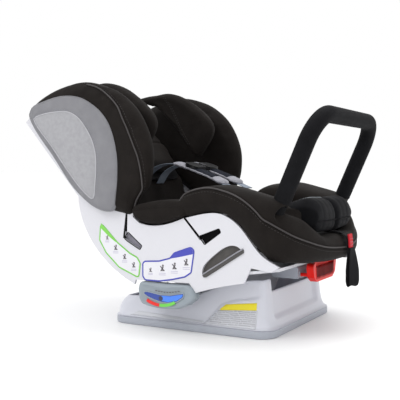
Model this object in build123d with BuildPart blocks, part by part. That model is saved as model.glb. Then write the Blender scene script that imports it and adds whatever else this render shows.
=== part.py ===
"""Convertible child car seat: a hard shell with deep side wings rocks on a moulded base.

Frame: +X towards the child's feet, +Y to the child's left, +Z up, millimetres, the origin at the
centre of the base's rest face. Pairs are made on the left and mirrored to the right.
"""

import math
import os

from build123d import *

os.makedirs("parts", exist_ok=True)

# Driving dimensions of the shell.
SHELL_HALF_WIDTH = 225.0
WALL = 6.0
WALL_INSIDE = SHELL_HALF_WIDTH - WALL
BACK_TOP = (-418.0, 462.0)
BACK_BOTTOM = (-262.0, 289.0)

# The shell rocks about a virtual centre above the child's feet.
RECLINE_CENTRE = (170.0, 440.0)
TRACK_RADIUS = 436.0
TRACK_PIN_ANGLE = -17.0
TRACK_PIN_RADIUS = 5.0
RECLINE_TRAVEL = 15.0

# The seat pan lifts about pins at its rear, to open the belt path under it.
PAN_HINGE = (-135.0, 190.0)
PAN_HINGE_RADIUS = 5.0
PAN_SPLIT_RADIUS = 166.5

# Base.
BASE_LENGTH = 400.0
BASE_WIDTH = 376.0
SKIRT_HEIGHT = 16.0
BASE_TAPER = 9.0
BASE_FLOOR = 4.0
RACK_SIDE = 143.0

# Rebound bar: a steel tube in a foam sleeve, both legs along one slanted direction.
BAR_FOOT = (230.0, 298.0)
BAR_SLOPE = math.radians(66.6)
BAR_HALF_SPAN = 190.0
BAR_RISE = 178.0
BAR_DEPTH = 88.0
BAR_CORNER = 62.0
BAR_TUBE_RADIUS = 9.5
BAR_FOAM_RADIUS = 18.0

# Fits.
RUNNING_FIT = 0.05
GAP = 0.6

back_length = math.dist(BACK_TOP, BACK_BOTTOM)
back_up = ((BACK_TOP[0] - BACK_BOTTOM[0]) / back_length, (BACK_TOP[1] - BACK_BOTTOM[1]) / back_length)
back_out = (back_up[1], -back_up[0])


def across(y):
    """The upright plane at distance y, seen from the right: its sketches are in X and Z."""
    return Plane.XZ.offset(-y)


def on_back(up, out):
    """A point up along the backrest from the shell's top edge, and out towards the child."""
    return (
        BACK_TOP[0] + up * back_up[0] + out * back_out[0],
        BACK_TOP[1] + up * back_up[1] + out * back_out[1],
    )


def on_track(radius, angle):
    """A point at a radius and angle (0 straight down, negative to the rear) from the recline centre."""
    turn = math.radians(angle)
    return (RECLINE_CENTRE[0] + radius * math.sin(turn), RECLINE_CENTRE[1] - radius * math.cos(turn))


def back_plane(out):
    """A plane parallel to the backrest, out towards the child: its sketches are up it and across it."""
    return Plane(
        origin=(BACK_TOP[0], 0, BACK_TOP[1]),
        x_dir=(back_up[0], 0, back_up[1]),
        z_dir=(back_out[0], 0, back_out[1]),
    ).offset(out)


def save(part, name):
    part.label = name
    export_step(part, f"parts/{name}.step")


def save_pair(part, name):
    """Writes a left-hand part and its mirror image."""
    save(part, f"{name}_left")
    save(mirror(part, about=Plane.XZ), f"{name}_right")


# ---------------------------------------------------------------- base

BASE_TOP = 120.0
BASE_TOP_LINE = [
    (-230, 18),
    (-192, 42),
    (-172, 58),
    (-120, 65),
    (0, 72),
    (40, 88),
    (96, 111),
    (150, 118),
    (230, BASE_TOP),
]
FRONT_NOTCH = (316, 90)
GRIP_PAD = (52, 16)
GRIP_PAD_THICKNESS = 1.5

with BuildPart() as base_shell:
    with BuildSketch():
        RectangleRounded(BASE_LENGTH, BASE_WIDTH, 42)
    extrude(amount=SKIRT_HEIGHT)
    with BuildSketch(Plane.XY.offset(SKIRT_HEIGHT)):
        RectangleRounded(BASE_LENGTH - 8, BASE_WIDTH - 6, 40)
    extrude(amount=BASE_TOP - SKIRT_HEIGHT, taper=BASE_TAPER)
    # The rim is low at the rear and rises to the front posts.
    with BuildSketch(Plane.XZ):
        with BuildLine():
            rim = Spline(BASE_TOP_LINE)
            Polyline(rim @ 1, (230, 200), (-230, 200), rim @ 0)
        make_face()
    extrude(amount=BASE_WIDTH, both=True, mode=Mode.SUBTRACT)
    # The cradle inside is open at the top.
    with BuildSketch(Plane.XY.offset(BASE_FLOOR)):
        RectangleRounded(BASE_LENGTH - 18, BASE_WIDTH - 16, 36)
    extrude(amount=140, taper=BASE_TAPER, mode=Mode.SUBTRACT)
    # The front wall is lower between the posts, where the recline handle passes over it.
    with BuildSketch(Plane.YZ.offset(150)):
        with Locations((0, FRONT_NOTCH[1] + 60)):
            RectangleRounded(FRONT_NOTCH[0], 120, 18)
    extrude(amount=60, mode=Mode.SUBTRACT)
    # Shallow pockets hold the grip pads.
    with BuildSketch():
        with GridLocations(300, 270, 2, 2):
            SlotOverall(GRIP_PAD[0] + GAP, GRIP_PAD[1] + GAP)
    extrude(amount=GRIP_PAD_THICKNESS + GAP / 2, mode=Mode.SUBTRACT)
save(base_shell.part, "base_shell")

with BuildPart() as base_grip_pads:
    with BuildSketch():
        with GridLocations(300, 270, 2, 2):
            SlotOverall(*GRIP_PAD)
    extrude(amount=GRIP_PAD_THICKNESS)
save(base_grip_pads.part, "base_grip_pads")

RACK_INNER = TRACK_RADIUS - 12
RACK_OUTER = TRACK_RADIUS + 12
RACK_START = TRACK_PIN_ANGLE + 3.5
RACK_END = TRACK_PIN_ANGLE - RECLINE_TRAVEL - 3.5

with BuildPart() as recline_rack:
    with BuildSketch(across(RACK_SIDE)):
        with BuildLine():
            inner = ThreePointArc(
                on_track(RACK_INNER, RACK_START),
                on_track(RACK_INNER, (RACK_START + RACK_END) / 2),
                on_track(RACK_INNER, RACK_END),
            )
            foot_rear = (on_track(RACK_OUTER, RACK_END)[0], BASE_FLOOR + GAP)
            foot_front = (on_track(RACK_OUTER, RACK_START)[0], BASE_FLOOR + GAP)
            Polyline(inner @ 1, on_track(RACK_OUTER, RACK_END), foot_rear, foot_front, inner @ 0)
        make_face()
        # The slot follows the recline arc, a little past each end of the travel.
        with Locations(RECLINE_CENTRE):
            SlotArc(
                Edge.make_circle(
                    TRACK_RADIUS,
                    start_angle=270 + TRACK_PIN_ANGLE - RECLINE_TRAVEL - 0.3,
                    end_angle=270 + TRACK_PIN_ANGLE + 0.3,
                ),
                2 * (TRACK_PIN_RADIUS + RUNNING_FIT),
                mode=Mode.SUBTRACT,
            )
    extrude(amount=WALL)
save_pair(recline_rack.part, "recline_rack")

# ---------------------------------------------------------------- shell

# The side wall's outline: down the back, along the bottom, then back over the rim.
WALL_BACK = [BACK_BOTTOM, (-254, 246), (-217, 179), (-160, 127), (-108, 99)]
WALL_BOTTOM = [(-105, 109), (30, 111), (46, 92)]
WALL_FRONT_BOTTOM = [(46, 92), (97, 107), (157, 120)]
WALL_TIP = [(173, 152), (217, 146), (234, 157), (219, 164)]
RIM_UNDER_BOLSTER = [(219, 164), (185, 189), (149, 232), (103, 259), (54, 256), (15, 247)]
RIM_UNDER_ARM_PAD = [(15, 247), (-23, 234), (-60, 229), (-96, 234)]
WING_RIM = [
    (-112, 284),
    (-84, 310),
    (-79, 370),
    (-92, 418),
    (-128, 474),
    (-188, 517),
    (-245, 532),
    (-310, 523),
    (-372, 500),
]

# Cross panel from the shell's top edge, down the back and along under the seat.
PANEL_PATH = [
    on_back(0, 3),
    on_back(-246, 3),
    (-243, 228),
    (-205, 168),
    (-150, 128),
    (-90, 117),
    (10, 118),
    (232, 151),
]

REAR_BELT_SLOT = [(-136, 199), (-128, 193), (-94, 175), (-88, 184), (-125, 213)]
FRONT_BELT_SLOT = [(53, 211), (67, 194), (105, 221), (101, 229)]
BELT_MOUTH_WIDTH = 4.4
POCKET_TOP = [(61, 133), (63, 146), (78, 164), (100, 182), (126, 195), (142, 194), (152, 186)]
POCKET_PLATE = [(57, 129.6), (58, 150), (76, 169), (98, 187), (125, 200), (145, 199), (157, 186)]
RUNNER_SIDE = 134.0

CROSS_PIN = on_track(TRACK_RADIUS, TRACK_PIN_ANGLE)
HARNESS_SLOT_UP = -205


def belt_slot(corners, mouth):
    """A wedge opening in the side wall with a narrow slit that lets the belt in from the rim."""
    with BuildSketch(Plane.XZ) as slot:
        with BuildLine():
            FilletPolyline(*corners, radius=2.5, close=True)
        make_face()
        with BuildLine():
            Line(*mouth)
        trace(line_width=BELT_MOUTH_WIDTH)
    return slot.sketch


def pocket_outline():
    """The storage pocket's mouth: a leaf with a straight lower edge."""
    with BuildSketch(Plane.XZ) as leaf:
        with BuildLine():
            top = Spline(POCKET_TOP)
            Line(top @ 1, top @ 0)
        make_face()
    return leaf.sketch


with BuildPart() as seat_shell:
    for y in (SHELL_HALF_WIDTH, -WALL_INSIDE):
        with BuildSketch(across(y)):
            with BuildLine():
                Line(BACK_TOP, BACK_BOTTOM)
                Spline(WALL_BACK)
                Polyline(WALL_BACK[-1], *WALL_BOTTOM)
                Spline(WALL_FRONT_BOTTOM)
                Polyline(WALL_FRONT_BOTTOM[-1], *WALL_TIP)
                Spline(RIM_UNDER_BOLSTER)
                Spline(RIM_UNDER_ARM_PAD)
                Polyline(RIM_UNDER_ARM_PAD[-1], (-112, 246), WING_RIM[0])
                Spline(WING_RIM)
                Line(WING_RIM[-1], BACK_TOP)
            make_face()
        extrude(amount=WALL)
    with BuildSketch(Plane.XZ):
        with BuildLine():
            FilletPolyline(*PANEL_PATH, radius=28)
        trace(line_width=WALL)
    extrude(amount=WALL_INSIDE + 0.5, both=True)
    # Two runners under the seat carry the cross pin that slides in the recline racks.
    with BuildSketch(Plane.XZ):
        with BuildLine():
            Polyline((-20, 116), (96, 128), (66, 40), (56, 14), (34, 14), (24, 40), close=True)
        make_face()
    extrude(amount=RUNNER_SIDE, both=True)
    with BuildSketch(Plane.XZ):
        with BuildLine():
            Polyline((-30, 114.5), (110, 127), (110, 0), (-30, 0), close=True)
        make_face()
    extrude(amount=RUNNER_SIDE - WALL, both=True, mode=Mode.SUBTRACT)
    with BuildSketch(Plane.XZ):
        with Locations(CROSS_PIN):
            Circle(TRACK_PIN_RADIUS + RUNNING_FIT)
    extrude(amount=140, both=True, mode=Mode.SUBTRACT)
    # Bores for the seat pan's pins.
    with BuildSketch(Plane.XZ):
        with Locations(PAN_HINGE):
            Circle(PAN_HINGE_RADIUS + RUNNING_FIT)
    extrude(amount=SHELL_HALF_WIDTH - 1.5, both=True, mode=Mode.SUBTRACT)
    for slot in (
        belt_slot(REAR_BELT_SLOT, ((-130, 196), (-128, 262))),
        belt_slot(FRONT_BELT_SLOT, ((58, 204), (10, 258))),
    ):
        extrude(slot, amount=SHELL_HALF_WIDTH + 5, both=True, mode=Mode.SUBTRACT)
    # Openings of the storage pockets in both sides.
    extrude(pocket_outline(), amount=SHELL_HALF_WIDTH + 5, both=True, mode=Mode.SUBTRACT)
    # Slots through the back for the shoulder straps.
    with BuildSketch(back_plane(-10)):
        with Locations((HARNESS_SLOT_UP, 40), (HARNESS_SLOT_UP, -40)):
            SlotOverall(52, 9, rotation=90)
    extrude(amount=25, mode=Mode.SUBTRACT)
save(seat_shell.part, "seat_shell")

with BuildPart() as recline_cross_pin:
    with BuildSketch(Plane.XZ):
        with Locations(CROSS_PIN):
            Circle(TRACK_PIN_RADIUS)
    extrude(amount=150, both=True)
save(recline_cross_pin.part, "recline_cross_pin")

with BuildPart() as pan_hinge_pins:
    for y in (SHELL_HALF_WIDTH - 2, -200):
        with BuildSketch(across(y)):
            with Locations(PAN_HINGE):
                Circle(PAN_HINGE_RADIUS)
        extrude(amount=SHELL_HALF_WIDTH - 2 - 200)
save(pan_hinge_pins.part, "pan_hinge_pins")

# Padded cover over each wing: a channel that wraps the wall's rim.
COVER_CORNERS = [
    (-138, 257),
    (-120, 264),
    (-110, 286),
    (-70, 299),
    (-61, 372),
    (-84, 446),
    (-150, 510),
    (-240, 549),
    (-330, 535),
    (-410, 486),
]
RIM_CORNERS = [(-118, 240), (-106, 262), (-106, 286), *WING_RIM[1:], (-430, 470), (-262, 230)]
CUSHION_FRONT = [
    (-386, 497),
    (-320, 517),
    (-274, 521),
    (-234, 516),
    (-174, 484),
    (-137, 422),
    (-128, 349),
    (-142, 258),
]
CUSHION_REAR = [(-192, 267), (-264, 313), (-381, 460)]
CUSHION_OUTSIDE = 254.0
COVER_OUTSIDE = 238.0
COVER_INSIDE = 200.0

with BuildPart() as wing_cover:
    with BuildSketch(across(COVER_OUTSIDE)):
        with BuildLine():
            FilletPolyline(*COVER_CORNERS, on_back(2, 12), on_back(-216, 12), radius=10, close=True)
        make_face()
    extrude(amount=COVER_OUTSIDE - COVER_INSIDE)
    with BuildSketch(across(SHELL_HALF_WIDTH + GAP)):
        Polygon(*RIM_CORNERS, align=None)
        offset(amount=7)
    extrude(amount=WALL + 2 * GAP, mode=Mode.SUBTRACT)
    # The outer cheek stops at the side cushion's edge.
    with BuildSketch(across(COVER_OUTSIDE + 1)):
        Polygon((-440, 470), (-400, 492), *CUSHION_FRONT[1:], (-150, 200), (-262, 230), align=None)
        offset(amount=9)
    extrude(amount=COVER_OUTSIDE + 1 - SHELL_HALF_WIDTH, mode=Mode.SUBTRACT)
save_pair(wing_cover.part, "wing_cover")

with BuildPart() as side_cushion:
    with BuildSketch(across(CUSHION_OUTSIDE)):
        with BuildLine():
            cushion_edge = Spline(CUSHION_FRONT)
            Polyline(cushion_edge @ 1, *CUSHION_REAR, cushion_edge @ 0)
        make_face()
    extrude(amount=CUSHION_OUTSIDE - SHELL_HALF_WIDTH - GAP)
    fillet(side_cushion.faces().sort_by(Axis.Y)[-1].edges(), 8)
save_pair(side_cushion.part, "side_cushion")

ARM_PAD_BOTTOM = [(-108, 248), (-94, 239), (-60, 232), (-23, 237), (30, 253)]
ARM_PAD_TOP = [(30, 284), (-7, 288), (-55, 281), (-106, 272)]
ARM_PAD_OUTSIDE = 236.0

with BuildPart() as arm_pad:
    with BuildSketch(across(ARM_PAD_OUTSIDE)):
        with BuildLine():
            bottom = Spline(ARM_PAD_BOTTOM)
            top = Spline(ARM_PAD_TOP)
            Line(bottom @ 1, top @ 0)
            Line(top @ 1, bottom @ 0)
        make_face()
        # The front end clears the thigh bolster as the seat pan swings up.
        with Locations(PAN_HINGE):
            Circle(PAN_SPLIT_RADIUS - 1, mode=Mode.INTERSECT)
    extrude(amount=ARM_PAD_OUTSIDE - COVER_INSIDE)
save_pair(arm_pad.part, "arm_pad")

BACKREST_UNDER = [(-246, 288), (-226, 228), (-192, 192)]
BACKREST_FACE = [(-172, 214), (-193, 262), on_back(-235, 52)]
ROD_SPAN = 60.0
ROD_OUT = 42.0
ROD_RADIUS = 4.0
CHANNEL_TOP = -8.0
CHANNEL_BOTTOM = -232.0
CHANNEL_MIDDLE = (CHANNEL_TOP + CHANNEL_BOTTOM) / 2
ROD_FOOT = on_back(CHANNEL_BOTTOM + 4, ROD_OUT)

with BuildPart() as backrest_pad:
    with BuildSketch(Plane.XZ):
        with BuildLine():
            Line(on_back(-4, 52), on_back(-4, 10))
            Line(on_back(-4, 10), on_back(-222, 10))
            under = Spline([on_back(-222, 10), *BACKREST_UNDER])
            face = Spline(BACKREST_FACE)
            Line(under @ 1, face @ 0)
            Line(face @ 1, on_back(-4, 52))
        make_face()
    extrude(amount=196, both=True)
    # Channels for the headrest's guide rods and its sliding block.
    with BuildSketch(back_plane(24)):
        with Locations((CHANNEL_MIDDLE, ROD_SPAN), (CHANNEL_MIDDLE, -ROD_SPAN)):
            Rectangle(CHANNEL_TOP - CHANNEL_BOTTOM, 30)
    extrude(amount=60, mode=Mode.SUBTRACT)
save(backrest_pad.part, "backrest_pad")

with BuildPart() as headrest_guide_rods:
    rod_plane = Plane(
        origin=(ROD_FOOT[0], 0, ROD_FOOT[1]),
        x_dir=(0, 1, 0),
        z_dir=(back_up[0], 0, back_up[1]),
    )
    with BuildSketch(rod_plane):
        with Locations((ROD_SPAN, 0), (-ROD_SPAN, 0)):
            Circle(ROD_RADIUS)
    extrude(amount=CHANNEL_TOP - CHANNEL_BOTTOM - 8)
save(headrest_guide_rods.part, "headrest_guide_rods")

with BuildPart() as side_pocket:
    with BuildSketch(across(WALL_INSIDE - 0.3)):
        with BuildLine():
            FilletPolyline(*POCKET_PLATE, radius=3, close=True)
        make_face()
    extrude(amount=4)
save_pair(side_pocket.part, "side_pocket")

# Level gauge on each side: a ball rolls in a curved channel behind a clear window.
GAUGE_OUTSIDE = 232.0
GAUGE_CENTRE = (-36.0, 132.0)
GAUGE_RADIUS = 60.0
GAUGE_SPREAD = 36.0
GAUGE_CHANNEL = 15.0
GAUGE_BALL_RADIUS = 5.0
GAUGE_BALL_SIDE = 225.6
GAUGE_OUTLINE = [
    (-95, 104),
    (-102, 73),
    (-96, 49),
    (-80, 41),
    (-42, 40),
    (8, 52),
    (43, 77),
    (34, 99),
    (26, 106),
]


def gauge_arc(width):
    """The curved channel's outline, centred on the gauge's arc."""
    with Locations(GAUGE_CENTRE):
        SlotArc(
            Edge.make_circle(GAUGE_RADIUS, start_angle=270 - GAUGE_SPREAD, end_angle=270 + GAUGE_SPREAD),
            width,
        )


with BuildPart() as level_housing:
    with BuildSketch(across(GAUGE_OUTSIDE)):
        with BuildLine():
            FilletPolyline(*GAUGE_OUTLINE, radius=6, close=True)
        make_face()
    extrude(amount=26)
    with BuildSketch(across(GAUGE_OUTSIDE)):
        gauge_arc(GAUGE_CHANNEL)
    extrude(amount=12, mode=Mode.SUBTRACT)
save_pair(level_housing.part, "level_housing")

with BuildPart() as level_window:
    with BuildSketch(across(GAUGE_OUTSIDE - 0.2)):
        gauge_arc(GAUGE_CHANNEL - 0.4)
    extrude(amount=1.1)
save_pair(level_window.part, "level_window")

with BuildPart() as level_ball:
    with Locations((GAUGE_CENTRE[0], GAUGE_BALL_SIDE, GAUGE_CENTRE[1] - GAUGE_RADIUS)):
        Sphere(GAUGE_BALL_RADIUS)
save_pair(level_ball.part, "level_ball")

# Tether strap folded flat on the back of the shell, with its hook.
with BuildPart() as tether_strap:
    with BuildSketch(back_plane(-GAP)):
        with Locations((-118, -150)):
            RectangleRounded(120, 30, 6)
    extrude(amount=-9)
save(tether_strap.part, "tether_strap")

with BuildPart() as tether_hook:
    with BuildSketch(across(-136)):
        with BuildLine():
            FilletPolyline(
                on_back(-182, -2),
                on_back(-182, -14),
                on_back(-214, -24),
                on_back(-236, -16),
                on_back(-236, -10),
                on_back(-214, -16),
                on_back(-196, -8),
                on_back(-196, -2),
                radius=2,
                close=True,
            )
        make_face()
    extrude(amount=28)
save(tether_hook.part, "tether_hook")

with BuildPart() as harness_yoke:
    with BuildSketch(back_plane(-GAP)):
        with Locations((HARNESS_SLOT_UP + 45, 0)):
            RectangleRounded(26, 64, 8)
            SlotOverall(34, 6, rotation=90, mode=Mode.SUBTRACT)
    extrude(amount=-3)
save(harness_yoke.part, "harness_yoke")

# Housing under the shell's front edge that guides the recline handle's two rods.
HANDLE_ROD_Z = 121.0
HANDLE_ROD_Y = 52.0
HANDLE_ROD_RADIUS = 4.0

with BuildPart() as handle_housing:
    with BuildSketch(Plane.XZ):
        with BuildLine():
            FilletPolyline((150, 130), (210, 139), (212, 131), (212, 113), (150, 113), radius=3, close=True)
        make_face()
    extrude(amount=68, both=True)
    with BuildSketch(Plane.YZ.offset(150)):
        with Locations((HANDLE_ROD_Y, HANDLE_ROD_Z), (-HANDLE_ROD_Y, HANDLE_ROD_Z)):
            Circle(HANDLE_ROD_RADIUS + RUNNING_FIT)
    extrude(amount=80, mode=Mode.SUBTRACT)
save(handle_housing.part, "handle_housing")

# ---------------------------------------------------------------- recline handle

HANDLE_EDGE = [(-76, 148), (-68, 118), (-50, 107), (50, 107), (68, 118), (76, 148)]
HANDLE_RECESS = [(-60, 149), (-54, 123), (-44, 117), (44, 117), (54, 123), (60, 149)]

with BuildPart() as recline_handle:
    with BuildSketch(Plane.YZ.offset(233)):
        with BuildLine():
            FilletPolyline(*HANDLE_EDGE, radius=9, close=True)
        make_face()
    extrude(amount=16)
    with BuildSketch(Plane.YZ.offset(241)):
        with BuildLine():
            FilletPolyline(*HANDLE_RECESS, radius=5, close=True)
        make_face()
    extrude(amount=10, mode=Mode.SUBTRACT)
    with BuildSketch(Plane.YZ.offset(160)):
        with Locations((HANDLE_ROD_Y, HANDLE_ROD_Z), (-HANDLE_ROD_Y, HANDLE_ROD_Z)):
            Circle(HANDLE_ROD_RADIUS)
    extrude(amount=75)
save(recline_handle.part, "recline_handle")

# ---------------------------------------------------------------- headrest

HEADREST_TOP = 4.0
HEADREST_BOTTOM = -240.0
HEADREST_MIDDLE = (HEADREST_TOP + HEADREST_BOTTOM) / 2
GRIP_FOOT = on_back(HEADREST_TOP, 63)
GRIP_STEM_RADIUS = 1.5
WING_TIPS = [
    (-344, 546),
    (-278, 556),
    (-244, 560),
    (-184, 540),
    (-129, 500),
    (-102, 462),
    (-104, 438),
    (-147, 381),
]

with BuildPart() as headrest_frame:
    with BuildSketch(back_plane(60)):
        with Locations((HEADREST_MIDDLE, 0)):
            RectangleRounded(HEADREST_TOP - HEADREST_BOTTOM, 290, 30)
    extrude(amount=6)
    # Two blocks at the back slide on the guide rods.
    with BuildSketch(back_plane(32)):
        with Locations((-190, ROD_SPAN), (-190, -ROD_SPAN)):
            RectangleRounded(60, 20, 4)
    extrude(amount=29)
    with BuildSketch(rod_plane):
        with Locations((ROD_SPAN, 0), (-ROD_SPAN, 0)):
            Circle(ROD_RADIUS + RUNNING_FIT)
    extrude(amount=250, mode=Mode.SUBTRACT)
    # Bores in the top edge hold the squeeze grip's stems.
    grip_plane = Plane(
        origin=(GRIP_FOOT[0], 0, GRIP_FOOT[1]),
        x_dir=(0, 1, 0),
        z_dir=(back_up[0], 0, back_up[1]),
    )
    with BuildSketch(grip_plane):
        with Locations((28, 0), (-28, 0)):
            Circle(GRIP_STEM_RADIUS + RUNNING_FIT)
    extrude(amount=-30, mode=Mode.SUBTRACT)
save(headrest_frame.part, "headrest_frame")

with BuildPart() as headrest_grip:
    with BuildSketch(grip_plane.offset(7)):
        SlotOverall(84, 11)
    extrude(amount=10)
    with BuildSketch(grip_plane.offset(-20)):
        with Locations((28, 0), (-28, 0)):
            Circle(GRIP_STEM_RADIUS)
    extrude(amount=28)
save(headrest_grip.part, "headrest_grip")

with BuildPart() as headrest_pad:
    with BuildSketch(back_plane(66 + GAP)):
        with Locations((HEADREST_MIDDLE, 0)):
            RectangleRounded(HEADREST_TOP - HEADREST_BOTTOM - 4, 238, 30)
    extrude(amount=34)
save(headrest_pad.part, "headrest_pad")

with BuildPart() as headrest_wing:
    with BuildSketch(across(154)):
        with BuildLine():
            wing = Spline(WING_TIPS)
            Polyline(wing @ 1, on_back(HEADREST_BOTTOM, 67), on_back(HEADREST_TOP, 67), wing @ 0)
        make_face()
    extrude(amount=32)
save_pair(headrest_wing.part, "headrest_wing")

# ---------------------------------------------------------------- seat pan

PAN_PATH = [PAN_HINGE, (60, 196), (160, 210), (228, 221), (237, 166)]
PAN_HALF_WIDTH = 121.0
BOLSTER_BOTTOM = [(8, 248), (54, 259), (103, 261), (149, 235), (185, 192), (219, 166), (243, 160)]
BOLSTER_TOP = [(262, 166), (282, 196), (266, 250), (235, 279), (160, 300), (96, 311), (42, 306), (4, 284)]
BOLSTER_OUTSIDE = 235.0

# Half of the seat's outline in plan, from the left side round to the middle of the front.
FRONT_PLAN = [(140, 236), (190, 232), (222, 219), (250, 191), (270, 152), (284, 108), (294, 56), (298, 0)]


def front_plan():
    """The seat's rounded outline in plan, seen from above."""
    with BuildSketch(Plane.XY.offset(140)) as plan:
        with BuildLine():
            front = Spline([*FRONT_PLAN, *[(x, -y) for x, y in reversed(FRONT_PLAN[:-1])]])
            Polyline(front @ 1, (-94, -236), (-94, 236), front @ 0)
        make_face()
    return plan.sketch


def bar_plane(rise=0.0):
    """The plane across the rebound bar's legs: the leg direction is its normal."""
    return Plane(
        origin=(BAR_FOOT[0], 0, BAR_FOOT[1]),
        x_dir=(0, 1, 0),
        z_dir=(math.cos(BAR_SLOPE), 0, math.sin(BAR_SLOPE)),
    ).offset(rise)


SOCKET_RADIUS = 14.0

with BuildPart() as seat_pan_frame:
    with BuildSketch(Plane.XZ):
        with BuildLine():
            FilletPolyline(*PAN_PATH, radius=12)
        trace(line_width=5)
    extrude(amount=PAN_HALF_WIDTH, both=True)
    # Hinge barrel across the rear edge.
    with BuildSketch(Plane.XZ):
        with Locations(PAN_HINGE):
            Circle(PAN_HINGE_RADIUS + 4)
    extrude(amount=216, both=True)
    # Cross beam under the bolsters that carries the rebound bar's sockets.
    with BuildSketch(Plane.XZ):
        with BuildLine():
            Polyline((172, 183), (204, 183), (204, 190), (172, 190), close=True)
        make_face()
    extrude(amount=206, both=True)
    with BuildSketch(Plane.XZ):
        with BuildLine():
            Polyline((176, 189), (200, 189), (200, 215), (176, 210), close=True)
        make_face()
    extrude(amount=6, both=True)
    with BuildSketch(Plane.XZ):
        with Locations(PAN_HINGE):
            Circle(PAN_HINGE_RADIUS + RUNNING_FIT)
    extrude(amount=230, both=True, mode=Mode.SUBTRACT)
save(seat_pan_frame.part, "seat_pan_frame")

with BuildPart() as bar_sockets:
    with BuildSketch(bar_plane(-108)):
        with Locations((BAR_HALF_SPAN, 0), (-BAR_HALF_SPAN, 0)):
            Circle(SOCKET_RADIUS)
            Circle(BAR_TUBE_RADIUS + RUNNING_FIT, mode=Mode.SUBTRACT)
    extrude(amount=88)
    # The lower ends are cut level, to stand on the cross beam.
    split(bisect_by=Plane.XY.offset(190.5), keep=Keep.TOP)
save(bar_sockets.part, "bar_sockets")

with BuildPart() as seat_cushion:
    with BuildSketch(Plane.XZ):
        with BuildLine():
            Polyline((-126, 203), (60, 202), (116, 208), (116, 236))
            top = Spline([(116, 236), (60, 228), (-40, 221), (-100, 219), (-126, 212)])
            Line(top @ 1, (-126, 203))
        make_face()
    extrude(amount=118, both=True)
save(seat_cushion.part, "seat_cushion")

with BuildPart() as thigh_bolster:
    with BuildSketch(across(BOLSTER_OUTSIDE)):
        with BuildLine():
            bottom = Spline(BOLSTER_BOTTOM)
            top = Spline(BOLSTER_TOP)
            Line(bottom @ 1, top @ 0)
            Line(top @ 1, bottom @ 0)
        make_face()
        with Locations(PAN_HINGE):
            Circle(PAN_SPLIT_RADIUS, mode=Mode.SUBTRACT)
    extrude(amount=BOLSTER_OUTSIDE - PAN_HALF_WIDTH - 3)
    extrude(front_plan(), amount=200, mode=Mode.INTERSECT)
    # Room for the cross beam and the bar's socket.
    with BuildSketch(across(208)):
        with BuildLine():
            Polyline((170, 150), (206, 150), (206, 192.5), (170, 192.5), close=True)
        make_face()
    extrude(amount=90, mode=Mode.SUBTRACT)
    with BuildSketch(bar_plane(-130)):
        with Locations((BAR_HALF_SPAN, 0)):
            Circle(BAR_FOAM_RADIUS + 1.5)
    extrude(amount=160, mode=Mode.SUBTRACT)
save_pair(thigh_bolster.part, "thigh_bolster")

RELEASE_BUTTON = (12, 26)
RELEASE_BUTTON_X = 262.0
RELEASE_BUTTON_Y = 98.0
NOSE_CORNERS = [(246, 212), (286, 212), (299, 188), (284, 160), (256, 152), (242, 152)]

with BuildPart() as nose_cover:
    with BuildSketch(Plane.XZ):
        with BuildLine():
            FilletPolyline(*NOSE_CORNERS, radius=7, close=True)
        make_face()
    extrude(amount=PAN_HALF_WIDTH, both=True)
    extrude(front_plan(), amount=200, mode=Mode.INTERSECT)
    # Pocket for the release button underneath.
    with BuildSketch(Plane.XY.offset(150)):
        with Locations((RELEASE_BUTTON_X, RELEASE_BUTTON_Y)):
            Rectangle(RELEASE_BUTTON[0] + 2 * GAP, RELEASE_BUTTON[1] + 2 * GAP)
    extrude(amount=8, mode=Mode.SUBTRACT)
save(nose_cover.part, "nose_cover")

with BuildPart() as pan_release_button:
    with BuildSketch(Plane.XY.offset(147)):
        with Locations((RELEASE_BUTTON_X, RELEASE_BUTTON_Y)):
            Rectangle(*RELEASE_BUTTON)
    extrude(amount=6.5)
save(pan_release_button.part, "pan_release_button")

INSERT_CORNERS = [
    (122, 216),
    (160, 219),
    (226, 229),
    (243, 228),
    (250, 218),
    (266, 218),
    (273, 252),
    (256, 285),
    (200, 269),
    (122, 243),
]

LEVER_PIVOT = (248.5, 218.5)
LEVER_SIDE = 30.0
LEVER_WIDTH = 20.0

with BuildPart() as foot_insert:
    with BuildSketch(Plane.XZ):
        with BuildLine():
            FilletPolyline(*INSERT_CORNERS, radius=4, close=True)
        make_face()
    extrude(amount=116, both=True)
    # Pocket under the front edge for the harness release lever.
    with BuildSketch(across(LEVER_SIDE + LEVER_WIDTH / 2 + 2)):
        Polygon((244, 210), (267, 210), (267, 231), (244, 231), align=None)
    extrude(amount=LEVER_WIDTH + 4, mode=Mode.SUBTRACT)
save(foot_insert.part, "foot_insert")

with BuildPart() as adjuster_lever:
    with BuildSketch(across(LEVER_SIDE + LEVER_WIDTH / 2)):
        with BuildLine():
            Line(LEVER_PIVOT, (264, 221))
        trace(line_width=2.4)
        with Locations(LEVER_PIVOT):
            Circle(2.2)
    extrude(amount=LEVER_WIDTH)
save(adjuster_lever.part, "adjuster_lever")

# Buckle on its strap, leaning back towards the child: its plane's normal is the strap's direction.
BUCKLE_LEAN = math.radians(62)
BUCKLE_SIZE = (52, 24, 50)
BUTTON_SIZE = (26, 20, 8)
buckle_plane = Plane(
    origin=(76, 0, 246),
    x_dir=(0, 1, 0),
    z_dir=(-math.cos(BUCKLE_LEAN), 0, math.sin(BUCKLE_LEAN)),
)
buckle_front = Plane(
    origin=buckle_plane.offset(22).origin - buckle_plane.y_dir * (BUCKLE_SIZE[1] / 2),
    x_dir=(0, 1, 0),
    z_dir=-buckle_plane.y_dir,
)

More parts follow.
